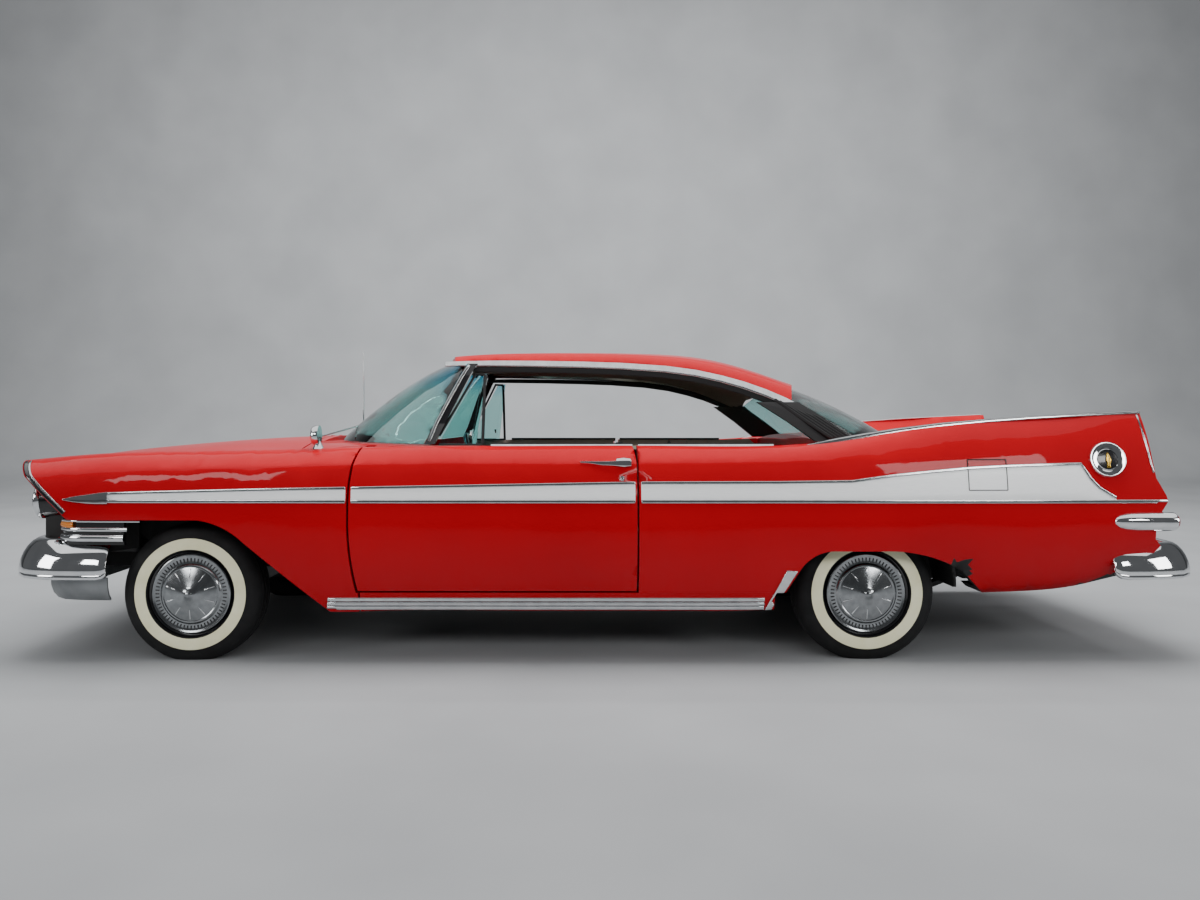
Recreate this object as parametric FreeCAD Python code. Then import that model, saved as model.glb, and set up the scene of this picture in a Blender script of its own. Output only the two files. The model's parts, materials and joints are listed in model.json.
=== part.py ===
"""Two-door hardtop coupe of the late 1950s with tail fins, built as separate panels on a ladder frame.

Millimetres. +Z is up, +X points to the tail and +Y to the passenger side. The origin is on the ground
under the middle of the car's box. Left is the driver's side, at -Y.
"""
import FreeCAD
import Part
import math
import os

V = FreeCAD.Vector
os.makedirs("parts", exist_ok=True)

# ---------------------------------------------------------------- driving dimensions
FRONT_OVERHANG = 840.0     # front bumper's face to front axle
WHEELBASE = 2997.0
REAR_OVERHANG = 1497.0     # rear axle to rear bumper's face
LENGTH = FRONT_OVERHANG + WHEELBASE + REAR_OVERHANG
FRONT_TRACK = 1547.0
REAR_TRACK = 1514.0
TYRE_RADIUS = 311.0
TYRE_WIDTH = 195.0
RIM_RADIUS = 178.0         # bead seat of a 14 inch rim
RIM_WIDTH = 140.0
RIM_FLANGE = 14.0          # flange height over the bead seat
COVER_RADIUS = 174.0       # wheel cover

PANEL_GAP = 8.0            # between doors, lids and their neighbours
SWING_GAP = 9.5            # ahead of the doors, whose front edges swing in behind the fenders
SHELL = 25.0               # wall of fenders, quarters, hood and lid
FIT = 0.3                  # clearance of pieces that sit on each other

BELT_Z = 965.0             # top of the doors
DOOR_INNER_Y = 785.0       # inner face of doors and cabin walls
DOOR_BOTTOM_Z = 338.0
VENT_FOOT_Y = 744.0        # inner face of the vent windows, at their foot
VENT_FOOT_Z = BELT_Z - 3
SILL_Z = 247.0             # underside of the rockers
FLOOR_Z = 300.0            # underside of the floor pan
FLOOR_THICK = 20.0
TRUNK_FLOOR_Z = 480.0      # underside of the floor over the rear axle
KICK_X = 740.0             # rear face of the heel board
TUNNEL_RADIUS = 125.0

DOOR_FRONT_X = -1104.0     # foremost point of the door's front edge
DOOR_REAR_X = 143.0
HOOD_REAR_X = -1392.0
HOOD_FRONT_X = -2525.0
LID_FRONT_X = 1482.0
LID_REAR_X = 2398.0
FIREWALL_X = -1190.0       # rear face of the firewall
CABIN_REAR_X = 1000.0
APRON_Y = 470.0            # inner walls of the engine bay
COWL_Z = 905.0             # underside of the cowl
DECK_Z = 925.0             # underside of the rear deck

PLATE_FACE_X = 2446.0      # pad for the number plate, in the tail panel
PLATE_HOLE_SPACING = 177.8
PLATE_HOLE_RADIUS = 3.2
PLATE_HOLE_Z = 660.0

RAIL_Y = 430.0             # inner face of the frame rails
RAIL_WIDTH = 70.0
RAIL_TOP_Z = 450.0         # rails beside the engine
KINGPIN_Y = FRONT_TRACK / 2 - 83.5
HOUSE_Y = REAR_TRACK / 2 - TYRE_WIDTH / 2 - 37.5     # outer face of the rear wheel houses' inner wall
HOUSE_THICK = 12.0
KINGPIN_RADIUS = 22.0
KINGPIN_ZS = (230.0, 414.0)
HUB_SEAT = 12.0            # where the hub meets the wheel, inboard of the tyre's middle plane
HUB_RADIUS = 60.0
LAMP_RADIUS = 73.0
LAMP_BEZEL = 84.0
LAMP_Z = 727.0
LAMP_YS = (626.0, 806.0)
GRILLE_HALF_WIDTH = 505.0
ARCH_TOP_Z = 647.0         # lower edge of the front fenders over the wheels
BROW_TOP, BROW_FOOT = (-2603.0, 905.0), (-2380.0, 655.0)
BUMPER_THICK = 26.0
BUMPER_SWELL = 23.0        # of a bumper's face before its edges
CHROME_BANDS = [(536, -2108), (572, -2070), (608, -2030)]
TAIL_LAMP_Y, TAIL_LAMP_Z = 878.0, 630.0

GEARBOX_FOOT_Z = 215.0
GEARBOX_REAR_X = -1010.0
SUSPENSION_TOP_Z = 325.0   # the engine's seat on its cross member
EXHAUST_Y = 270.0

PIN_RADIUS = 5.0
PIN_PLAY = 0.08            # round each hinge pin
DOOR_HINGE_X = DOOR_FRONT_X + 64
DOOR_HINGE_Y = 955.0
DOOR_HINGE_ZS = ((556, 604), (676, 724))
LID_PIN_RADIUS = 1.8
LID_KNUCKLE_YS = (60.0, 110.0)

AXLE_Z = TYRE_RADIUS
FRONT_X, REAR_X = -1827.0, 1170.0     # axles, as drawn
NOSE_X, TAIL_X = -2667.0, 2667.0      # bumper faces, as drawn

# Every X below is a drawn station. Nose, tail and wheel bays keep their shape and follow their axle or
# bumper face, and the lengths between them take up a change of overhang or wheelbase.
FRONT_AXLE = FRONT_OVERHANG - LENGTH / 2
REAR_AXLE = FRONT_AXLE + WHEELBASE
STATIONS = [(NOSE_X, -LENGTH / 2), (NOSE_X + 337, -LENGTH / 2 + 337), (FRONT_X - 213, FRONT_AXLE - 213),
            (FRONT_X + 327, FRONT_AXLE + 327), (REAR_X - 432, REAR_AXLE - 432), (REAR_X + 570, REAR_AXLE + 570),
            (TAIL_X - 467, LENGTH / 2 - 467), (TAIL_X, LENGTH / 2)]

# Body sections from nose to tail, one side. The corner points run from the underside (bot) out to the
# widest line (side), the crease (crs), the fender or fin crest (top), the foot of its inner face (in)
# and the middle of hood, belt or deck (mid).
#    x    z_bot y_bot y_side z_side y_crs z_crs y_top z_top  y_in z_in  z_mid
BODY = [
    (-2650, 430, 835, 915, 700, 903, 828, 800, 896, 600, 872, 884),
    (-2300, 430, 880, 950, 700, 935, 850, 798, 927, 631, 907, 941),
    (-1827, 400, 900, 962, 700, 945, 868, 790, 944, 672, 930, 981),
    (-1300, 250, 910, 972, 660, 950, 880, 795, 955, 718, 946, 1003),
    (-950, 247, 910, 978, 640, 952, 885, 835, 963, 785, 962, 1000),
    (-400, 247, 910, 980, 620, 952, 885, 842, 965, 785, 965, 990),
    (150, 247, 910, 980, 620, 952, 885, 842, 967, 785, 967, 990),
    (700, 250, 910, 978, 620, 952, 890, 852, 966, 775, 964, 990),
    (1000, 270, 900, 975, 620, 948, 900, 862, 986, 760, 972, 1010),
    (1300, 300, 890, 972, 620, 940, 905, 858, 1036, 745, 985, 1028),
    (1700, 322, 880, 962, 620, 927, 912, 845, 1081, 720, 965, 1003),
    (2100, 350, 860, 945, 620, 908, 915, 828, 1106, 690, 920, 950),
    (2500, 392, 830, 915, 620, 885, 920, 808, 1121, 660, 850, 872),
]

# Roof sections: x, height and half width of the drip rail, height of the crown
ROOF = [
    (-760, 1346, 598, 1380),
    (-500, 1349, 606, 1419),
    (-96, 1342, 610, 1430),
    (300, 1320, 612, 1424),
    (560, 1266, 622, 1398),
    (760, 1190, 650, 1346),
    (960, 1112, 690, 1276),
]

# Windscreen and backlight, from the bottom edge up: the middle's x and z, then the end's x, y and z
SCREEN = [
    (-1335, 982, -812, 762, 972),
    (-1190, 1116, -768, 718, 1065),
    (-1030, 1236, -712, 672, 1185),
    (-880, 1326, -662, 634, 1290),
    (-748, 1382, -630, 612, 1346),
]
BACKLIGHT = [
    (1466, 1020, 1128, 722, 1000),
    (1270, 1132, 1046, 706, 1052),
    (1110, 1206, 958, 690, 1103),
    (958, 1264, 874, 672, 1150),
]
GLASS = 6.0
ROOF_THICK = 34.0
C_PILLAR = [(812, 660, 1165), (944, 704, 1075), (1062, 742, 985)]

# Half of a tail lamp's outline, station and radius
TAIL_LAMP = [(2222, 6), (2300, 34), (2420, 47), (2490, 48), (2560, 36), (2584, 12)]


# ---------------------------------------------------------------- helpers
def station(x):
    """The place along the car of a drawn station."""
    for (a, here), (b, there) in zip(STATIONS, STATIONS[1:]):
        if x <= b:
            break
    return here + (there - here) * (x - a) / (b - a)


def at(x, y, z):
    """A point at a drawn station."""
    return V(station(x), y, z)


def save(name, shape):
    solids = shape.Solids
    shape = solids[0] if len(solids) == 1 else Part.makeCompound(solids)
    shape.exportStep("parts/%s.step" % name)
    return shape


def box(x0, x1, y0, y1, z0, z1):
    return Part.makeBox(station(x1) - station(x0), y1 - y0, z1 - z0, at(x0, y0, z0))


def cylinder_y(x, z, radius, y0, y1):
    return Part.makeCylinder(radius, y1 - y0, at(x, y0, z), V(0, 1, 0))


def cylinder_z(x, y, radius, z0, z1):
    return Part.makeCylinder(radius, z1 - z0, at(x, y, z0), V(0, 0, 1))


def cylinder_between(a, b, radius):
    return Part.makeCylinder(radius, (b - a).Length, a, b - a)


def prism_y(points, y0, y1):
    """Outline in the side view, pushed across the car."""
    wire = Part.makePolygon([at(x, y0, z) for x, z in points + points[:1]])
    return Part.Face(wire).extrude(V(0, y1 - y0, 0))


def prism_z(points, z0, z1):
    """Outline in the plan view, pushed upwards."""
    wire = Part.makePolygon([at(x, y, z0) for x, y in points + points[:1]])
    return Part.Face(wire).extrude(V(0, 0, z1 - z0))


def prism_x(points, x0, x1):
    """Outline in the cross section, pushed along the car."""
    wire = Part.makePolygon([at(x0, y, z) for y, z in points + points[:1]])
    return Part.Face(wire).extrude(V(station(x1) - station(x0), 0, 0))


def cylinder_x(x0, x1, y, z, radius):
    return Part.makeCylinder(radius, station(x1) - station(x0), at(x0, y, z), V(1, 0, 0))


def prism_of(edges, push):
    return Part.Face(Part.Wire(edges)).extrude(push)


def line(a, b):
    return Part.LineSegment(a, b).toShape()


def bulged(a, b, bulge):
    """An arc from a to b in one cross section, bulging to the left of the way from a to b."""
    way = b - a
    side = V(0, way.z, -way.y)
    side.normalize()
    middle = (a + b) * 0.5 + side * bulge
    return Part.Arc(a, middle, b).toShape()


def arc3(a, middle, b):
    return Part.Arc(a, middle, b).toShape()


def mirrored(shape):
    return shape.mirror(V(0, 0, 0), V(0, 1, 0))


def fused(shapes):
    return shapes[0].fuse(shapes[1:]).removeSplitter()


def revolve_y(points, x, z):
    """A ring about a line along Y. Points are y and radius."""
    wire = Part.makePolygon([at(x, y, z + r) for y, r in points + points[:1]])
    return Part.Face(wire).revolve(at(x, 0, z), V(0, 1, 0), 360)


# ---------------------------------------------------------------- body envelope, right side
def crown_edge(outer, middle):
    """The arc from a point to the middle line that is level where it gets there."""
    rise = middle.z - outer.z
    radius = (outer.y ** 2 + rise ** 2) / (2 * rise)
    y = outer.y / 2
    z = middle.z - radius + math.sqrt(radius ** 2 - y ** 2)
    return arc3(outer, V(outer.x, y, z), middle)


def outer_section(row):
    x, z_bot, y_bot, y_side, z_side, y_crs, z_crs, y_top, z_top, y_in, z_in, z_mid = row
    keel = at(x, 0, z_bot)
    bottom = at(x, y_bot, z_bot)
    side = at(x, y_side, z_side)
    crease = at(x, y_crs, z_crs)
    crest = at(x, y_top, z_top)
    foot = at(x, y_in, z_in)
    middle = at(x, 0, z_mid)
    return Part.Wire([
        line(keel, bottom),
        bulged(bottom, side, 22),
        bulged(side, crease, 6),
        bulged(crease, crest, 12),
        line(crest, foot),
        crown_edge(foot, middle),
        line(middle, keel),
    ])


def inner_section(row):
    """The same section a wall's thickness inside, without the fin."""
    x, z_bot, y_bot, y_side, z_side, y_crs, z_crs, y_top, z_top, y_in, z_in, z_mid = row
    corners = [
        at(x, 0, z_bot + SHELL),
        at(x, y_bot - SHELL, z_bot + SHELL),
        at(x, y_side - SHELL, z_side),
        at(x, y_crs - SHELL - 8, z_crs - 10),
        at(x, y_in, z_in - SHELL - 8),
        at(x, 0, z_mid - SHELL),
    ]
    return Part.makePolygon(corners + corners[:1])


ENVELOPE = Part.makeLoft([outer_section(r) for r in BODY], True, False)
INNER = Part.makeLoft([inner_section(r) for r in BODY], True, False)
SKIN = ENVELOPE.cut(INNER)


def region(shape, x0, x1, y0=0.0, y1=1100.0, z0=200.0, z1=1300.0):
    return shape.common(box(x0, x1, y0, y1, z0, z1))


# ---------------------------------------------------------------- side openings, in the side view
def front_arch(y0):
    """Flat over the wheel, then a long straight sweep down to the rocker."""
    top_z = ARCH_TOP_Z
    bend_x, foot_x = FRONT_X + 67, -1195.0
    a = at(-2700, y0, top_z)
    b = at(bend_x, y0, top_z)
    c = at(FRONT_X + 267, y0, 548)
    d = at(foot_x, y0, SILL_Z - 7)
    e = at(foot_x, y0, 150)
    f = at(-2700, y0, 150)
    edges = [line(a, b), arc3(b, at(FRONT_X + 177, y0, 613), c), line(c, d), line(d, e), line(e, f), line(f, a)]
    return prism_of(edges, V(0, 1100 - y0, 0))


def rear_arch(y0):
    """Low and flat over the wheel, steep in front of it and drawn out behind."""
    a = at(REAR_X - 432, y0, SILL_Z - 7)
    b = at(REAR_X - 324, y0, 425)
    c = at(REAR_X - 160, y0, 513)
    d = at(REAR_X + 60, y0, 513)
    e = at(REAR_X + 390, y0, 425)
    f = at(REAR_X + 520, y0, 300)
    g = at(REAR_X + 520, y0, 150)
    h = at(REAR_X - 432, y0, 150)
    edges = [
        line(a, b),
        arc3(b, at(REAR_X - 258, y0, 492), c),
        line(c, d),
        arc3(d, at(REAR_X + 235, y0, 490), e),
        line(e, f),
        line(f, g),
        line(g, h),
        line(h, a),
    ]
    return prism_of(edges, V(0, 1100 - y0, 0))


def door_prism(gap):
    """The door in the side view. A gap makes it larger, for the hole it sits in."""
    front, rear, low, high = DOOR_FRONT_X - gap, DOOR_REAR_X + gap, DOOR_BOTTOM_Z - gap, BELT_Z + 60
    top = at(front + 52, 0, high)
    knee = at(front, 0, 690)
    foot = at(front + 34, 0, low)
    edges = [
        arc3(top, at(front + 10, 0, 850), knee),
        arc3(knee, at(front + 8, 0, 500), foot),
        line(foot, at(rear, 0, low)),
        line(at(rear, 0, low), at(rear, 0, high)),
        line(at(rear, 0, high), top),
    ]
    return prism_of(edges, V(0, 1100, 0))


def hood_half_width(x):
    """Tapered to the nose, and parallel where the rear corners tip forward under their hinge."""
    at_nose, at_cowl = 590.0, 700.0
    nose_x, parallel_x = BODY[0][0], HOOD_REAR_X - 90
    return min(at_cowl, at_nose + (at_cowl - at_nose) * (x - nose_x) / (parallel_x - nose_x))


def hood_plan(gap):
    """Plan of the hood's right half, grown by the gap at its side and rear."""
    nose_x, rear_x = -2700.0, HOOD_REAR_X + gap
    sides = [(x, hood_half_width(x) + gap) for x in (nose_x, HOOD_REAR_X - 90, rear_x)]
    return prism_z([(nose_x, 0)] + sides + [(rear_x, 0)], 760, 1100)


def hood_space():
    """What the hood needs: its plan with the gap, and as much under it."""
    return hood_plan(PANEL_GAP).cut(INNER.translated(V(0, 0, -PANEL_GAP)))


def deck_half_width(x):
    return 706.0 - (x - CABIN_REAR_X) * 0.055


def deck_plan(x0, x1, inset, z0):
    corners = [(x0, deck_half_width(x0) - inset), (x1, deck_half_width(x1) - inset)]
    return prism_z([(x0, 0)] + corners + [(x1, 0)], z0, 1300)


def brow_line(back):
    """The slanted front edge of the fenders, moved back along X."""
    return [(BROW_TOP[0] + back, BROW_TOP[1]), (BROW_FOOT[0] + back, BROW_FOOT[1])]


BROW_CUT = prism_y([(-2750, 1000), (BROW_TOP[0] - 15, 1000)] + brow_line(0)
                   + [(BROW_FOOT[0], 600), (-2750, 600)], 0, 1100)

# Rear end of fins and tail in the side view, from the fin's tip down, x and z
TAIL = [(2392, 1200), (2396, 1100), (2424, 826), (2464, 750), (2471, 725), (2440, 682), (2410, 600),
        (2412, 560), (2440, 530), (2330, 385), (2300, 300)]
TAIL_CUT = prism_y(TAIL + [(2750, 300), (2750, 1200)], 0, 1100)


def keep_largest(shape):
    return sorted(shape.Solids, key=lambda s: s.Volume)[-1]


# ---------------------------------------------------------------- body panels, right side
def make_fender():
    rear = DOOR_FRONT_X + 60
    skin = region(SKIN, -2700, rear)
    skin = skin.cut(box(HOOD_REAR_X - 4, rear + 1, 0, 708, 200, 1100))
    skin = skin.cut(box(-1245, rear + 1, 0, 885, 200, 345))
    skin = skin.cut(box(DOOR_FRONT_X + 34, rear + 1, 0, 1100, 200, DOOR_BOTTOM_Z))
    skin = skin.cut(box(-2700, -1245, 0, APRON_Y + 60, 200, 760))
    apron = region(INNER, -2260, -1245, APRON_Y, APRON_Y + 14, RAIL_TOP_Z + 1, 1000)
    shelf = INNER.cut(INNER.translated(V(0, 0, -20)))
    shelf = region(shelf, -2260, -1245, APRON_Y, 724, 700, 1000)
    splash = region(INNER, -1258, -1244, RAIL_Y + RAIL_WIDTH + 2, 1100, 255, 1000)
    fender = skin.fuse([apron, shelf, splash]).cut(box(HOOD_REAR_X - 4, rear, 0, 700, COWL_Z - 5, 1100))
    fender = fender.cut(hood_space())
    fender = fender.cut(front_arch(APRON_Y + 40))
    fender = fender.cut(BROW_CUT)
    return keep_largest(fender.cut(door_prism(SWING_GAP)))


def make_door():
    slab = region(ENVELOPE, DOOR_FRONT_X - 5, DOOR_REAR_X + 5, DOOR_INNER_Y, 1100, 250, 1100)
    door = slab.common(door_prism(0.0))
    rear_bevel = prism_z([(DOOR_REAR_X + 20, 760), (DOOR_REAR_X - 26, 760), (DOOR_REAR_X, 960),
                          (DOOR_REAR_X + 20, 960)], 200, 1100)
    foot = VENT_FOOT_Z - FIT
    ledge = box(-766, -556, VENT_FOOT_Y - 14, DOOR_INNER_Y + 1, foot - 45, foot)
    return door.cut(rear_bevel).fuse(ledge)


def make_rocker():
    rocker = region(ENVELOPE, DOOR_FRONT_X + 34 + PANEL_GAP, 745, 800, 1100, 200, DOOR_BOTTOM_Z - PANEL_GAP)
    return rocker.cut(rear_arch(600))


def make_quarter():
    front = DOOR_REAR_X + PANEL_GAP
    arch_radius = TYRE_RADIUS + 70
    wall = region(ENVELOPE, front, CABIN_REAR_X, DOOR_INNER_Y, 1100, DOOR_BOTTOM_Z - PANEL_GAP + FIT, 1100)
    skin = region(SKIN, CABIN_REAR_X, 2700)
    skin = skin.cut(deck_plan(CABIN_REAR_X - 1, 2700, -6, 560)).cut(box(900, 2700, 0, 708, 200, 560))
    wheel_space = cylinder_y(REAR_X, AXLE_Z, arch_radius + 14, HOUSE_Y - HOUSE_THICK, 935)
    outer = skin.fuse(wall).cut(wheel_space.cut(SKIN)).cut(rear_arch(600)).cut(TAIL_CUT)
    house = wheel_space.common(INNER).cut(cylinder_y(REAR_X, AXLE_Z, arch_radius, HOUSE_Y, 1100))
    house = house.cut(box(700, 1800, 400, 1100, 0, AXLE_Z + 20))
    house = house.cut(cylinder_y(REAR_X, AXLE_Z, 80, HOUSE_Y - 22, HOUSE_Y + 28))
    return keep_largest(outer.fuse(house))


def whole(half):
    return half.fuse(mirrored(half)).removeSplitter()


def make_hood():
    half = region(SKIN, -2700, HOOD_REAR_X, 0, 1100, 800, 1100).common(hood_plan(0.0))
    nose = prism_z([(-2800, -1), (HOOD_FRONT_X, -1), (HOOD_FRONT_X + 12, 250), (HOOD_FRONT_X + 45, 500),
                    (HOOD_FRONT_X + 60, 700), (-2800, 700)], 500, 1200)
    return whole(half.cut(nose))


def make_cowl():
    """The panel round the foot of the windscreen, from the hood back to the ends of the screen."""
    front, rear, inner_x = HOOD_REAR_X + PANEL_GAP, -786.0, -525.0
    half = region(ENVELOPE, front, rear, 0, DOOR_INNER_Y - 12, COWL_Z, 1100)
    half = half.cut(box(front - 1, DOOR_FRONT_X + 70, 700, 1100, 0, 1200))
    half = half.cut(cylinder_z(inner_x, 0, 720, 800, 1200)).cut(box(-900, -700, -1, 655, 800, 1200))
    screen_foot = box(front - 1, rear + 1, -1, 800, 972, 1100)
    return whole(half.cut(screen_foot.cut(box(front - 2, -1345, -2, 801, 900, 1200))))


def make_rear_deck():
    rear = LID_FRONT_X - PANEL_GAP
    half = region(ENVELOPE, CABIN_REAR_X + FIT, rear, 0, 1100, DECK_Z, 1100)
    return whole(half.common(deck_plan(900, LID_FRONT_X + 118, 6 - 6 * FIT, 800)))


def make_trunk_lid():
    plan = deck_plan(LID_FRONT_X, LID_REAR_X, 2, 560)
    slab = region(ENVELOPE, LID_FRONT_X, LID_REAR_X, 0, 1100, 820, 1100).common(plan)
    inside = ENVELOPE.translated(V(0, 0, -SHELL)).common(box(0, LID_REAR_X - 30, -1, 1100, 700, 1100))
    return whole(slab.cut(inside))


def make_tail_panel():
    """The upright panel that closes the tail under the lid's lip and inside the fins."""
    low, under_lip, thick = 482.0, 812.0, 26.0
    face = [(2402, low)] + [p for p in reversed(TAIL) if low < p[1] < 1000] + [(2404, 1000)]
    back = [(x - thick, z) for x, z in reversed(face)]
    panel = prism_y(face + back, 0, 1100).common(INNER)
    x, z0, z1 = PLATE_FACE_X, PLATE_HOLE_Z - 110, PLATE_HOLE_Z + 22
    plate_pad = box(x - 50, x, 0, 160, z0, z1)
    hole = cylinder_x(x - 14, x, PLATE_HOLE_SPACING / 2, PLATE_HOLE_Z, PLATE_HOLE_RADIUS)
    return whole(panel.cut(deck_plan(2300, 2600, -6 - FIT, under_lip)).fuse(plate_pad).cut(hole))


# ---------------------------------------------------------------- roof, glass and pillars
def flip(p):
    return V(p.x, -p.y, p.z)


def roof_bow(row, drop):
    """Rail, turn, bend and crown of one bow, or of its inner face a wall's thickness inside."""
    x, z_rail, y_rail, z_crown = row
    rail = at(x, y_rail - drop, z_rail)
    bend = at(x, y_rail - 110 - drop / 2, z_crown - (z_crown - z_rail) * 0.34 - drop)
    turn = at(x, (rail.y + bend.y) / 2 + 14, (rail.z + bend.z) / 2 + 14)
    return rail, turn, bend, at(x, 0, z_crown - drop)


def roof_section(row):
    rail, turn, bend, crown = roof_bow(row, 0.0)
    rail_in, turn_in, bend_in, crown_in = roof_bow(row, ROOF_THICK)
    return Part.Wire([
        arc3(rail, turn, bend),
        arc3(bend, crown, flip(bend)),
        arc3(flip(bend), flip(turn), flip(rail)),
        line(flip(rail), flip(rail_in)),
        arc3(flip(rail_in), flip(turn_in), flip(bend_in)),
        arc3(flip(bend_in), crown_in, bend_in),
        arc3(bend_in, turn_in, rail_in),
        line(rail_in, rail),
    ])


def pane_section(row, inward, thick):
    """One bow of a wrapped pane: an arc through both ends and the middle, and the same inside."""
    x_mid, z_mid, x_end, y_end, z_end = row
    middle = at(x_mid, 0, z_mid)
    way = middle - at(x_end, 0, z_end)
    way.normalize()
    outer_mid = middle - way * inward
    inner_mid = outer_mid - way * thick
    y_out = y_end - inward * 0.6
    y_in = y_out - thick
    a, b = at(x_end, -y_out, z_end), at(x_end, y_out, z_end)
    c, d = at(x_end, y_in, z_end), at(x_end, -y_in, z_end)
    return Part.Wire([arc3(a, outer_mid, b), line(b, c), arc3(c, inner_mid, d), line(d, a)])


def make_pane(rows):
    return Part.makeLoft([pane_section(r, 0.0, GLASS) for r in rows], True, False)


def edge_cut(points, z0, z1):
    """Plan of an end of the roof from the middle out, for both sides, beyond the points."""
    beyond = points[0][0] + (200 if points[0][0] > 0 else -200)
    left = [(x, -y) for x, y in reversed(points[1:])]
    return prism_z(left + points + [(beyond, points[-1][1]), (beyond, -points[-1][1])], z0, z1)


def make_roof():
    roof = Part.makeLoft([roof_section(r) for r in ROOF], True, False)
    front = edge_cut([(-742, 0), (-738, 200), (-722, 400), (-690, 560), (-668, 800)], 1200, 1500)
    rear = edge_cut([(956, 0), (952, 200), (930, 450), (880, 660), (868, 800)], 1000, 1500)
    pillar = bar(C_PILLAR, 190, 36)
    return keep_largest(roof.cut([front, rear]).fuse([pillar, mirrored(pillar)]))


def bar(points, size_x, size_y):
    """A bar of rectangular section through points, each section level."""
    wires = []
    for x, y, z in points:
        near, far = x - size_x / 2, x + size_x / 2
        low, high = y - size_y / 2, y + size_y / 2
        corners = [at(near, low, z), at(far, low, z), at(far, high, z), at(near, high, z)]
        wires.append(Part.makePolygon(corners + corners[:1]))
    return Part.makeLoft(wires, True, True)


def make_screen_frame():
    """The pillars behind the ends of the windscreen, and the header under the front of the roof."""
    pillar = bar([(x + 27, y - 4, z) for x, y, z in [r[2:] for r in SCREEN]], 46, 36)
    top = SCREEN[-1]
    inside = pane_section((top[0] + 12, top[1] + 1, top[2] + 12, top[3] - 8, top[4] - 2), 0, 30)
    header = Part.Face(inside).extrude(V(26, 0, 8))
    return fused([header, pillar, mirrored(pillar)])


# ---------------------------------------------------------------- vent windows, on the doors
def make_vent_window():
    """The quarter light and its upright bar, which stand on the front end of the door."""
    foot, head, thick = VENT_FOOT_Z, 1298.0, 7.0
    low_y, high_y = VENT_FOOT_Y, VENT_FOOT_Y - 136
    outline = prism_y([(-752, foot), (-596, foot), (-550, head), (-572, head), (-645, 1170)], 500, 900)
    corners = [at(-900, low_y, foot), at(-900, high_y, head), at(-900, high_y + thick, head),
               at(-900, low_y + thick, foot)]
    lean = Part.Face(Part.makePolygon(corners + corners[:1])).extrude(V(station(-500) - station(-900), 0, 0))
    post = bar([(-588, low_y + 4, foot), (-542, high_y + 4, head)], 22, 20)
    return fused([outline.common(lean), post]).cut(door)


# ---------------------------------------------------------------- front end
def swept_bar(plan, foot, top, swell, lean, low_share):
    """A bumper's right half, from the middle round to its tip. plan is x at the nose, x and y at the tip
    and the power of the rounded corner; foot, top and swell are given at the nose and at the tip."""
    nose_x, tip_x, tip_y, power = plan
    steps = 12
    wires = []
    for i in range(steps + 1):
        turn = math.pi / 2 * i / steps
        along = math.cos(turn) ** (2 / power)
        across = math.sin(turn) ** (2 / power)
        deep = nose_x - tip_x
        out = V(along ** (power - 1) / deep, across ** (power - 1) / tip_y, 0)
        out.normalize()
        share = (1 - math.cos(math.pi * min(1.0, across ** 3 * 1.05))) / 2
        z0, z1, bulge = (a + (b - a) * share for a, b in (foot, top, swell))
        x, y = tip_x + deep * along, tip_y * across
        low = at(x, y, z0)
        high = at(x, y, z1) - out * lean
        face = at(x, y, z0 + (z1 - z0) * low_share) + out * bulge
        high_in, low_in = high - out * BUMPER_THICK, low - out * BUMPER_THICK
        wires.append(Part.Wire([arc3(low, face, high), line(high, high_in), line(high_in, low_in),
                                line(low_in, low)]))
    return Part.makeLoft(wires, True, True)


def make_front_bumper():
    nose = NOSE_X + BUMPER_SWELL
    half = swept_bar((nose, -2145, 952, 3.2), (366, 372), (478, 541), (BUMPER_SWELL, 10), 26, 0.3)
    apron = prism_y([(-2372, 368), (-2330, 318), (-2223, 280), (-2166, 280), (-2160, 400), (-2372, 400)], 905, 931)
    return whole(half.fuse(apron))


def make_rear_bumper():
    nose = TAIL_X - BUMPER_SWELL
    return whole(swept_bar((nose, 2255, 932, 3.0), (380, 398), (512, 536), (BUMPER_SWELL, 10), 20, 0.4))


def make_grille():
    """The slanted panel behind the lamps, and an egg-crate of bars between them."""
    slope = brow_line(50)
    top_x, foot_x = slope[0][0], slope[1][0]
    panel = prism_y(slope + [(foot_x + 40, 560), (foot_x + 62, 560), (foot_x + 22, slope[1][1]),
                             (top_x + 22, slope[0][1])], GRILLE_HALF_WIDTH - 5, 1100)
    panel = panel.common(INNER).cut(box(-2700, -2200, -1, hood_half_width(-2400) + PANEL_GAP, 828, 1000))
    panel = panel.cut(box(-2700, -2200, GRILLE_HALF_WIDTH + 36, 1100, 500, ARCH_TOP_Z))
    bars = []
    front, back, half_width, foot, top = -2505.0, -2440.0, GRILLE_HALF_WIDTH, 562.0, 824.0
    rows, columns, bar_size = 5, 9, 9.0
    for i in range(rows + 1):
        z = foot + (top - foot) * i / rows
        bars.append(box(front, back, 0, half_width, z - bar_size / 2, z + bar_size / 2))
    for i in range(columns + 1):
        y = half_width * i / columns
        low = max(0.0, y - bar_size / 2)
        bars.append(box(front, back, low, y + bar_size / 2, foot, top))
    for i in range(3):
        z = 548 + 36 * i
        bars.append(box(back - 30, -2300, 0, half_width + 38, z - 12, z + 12))
    return whole(fused([panel] + bars))


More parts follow.
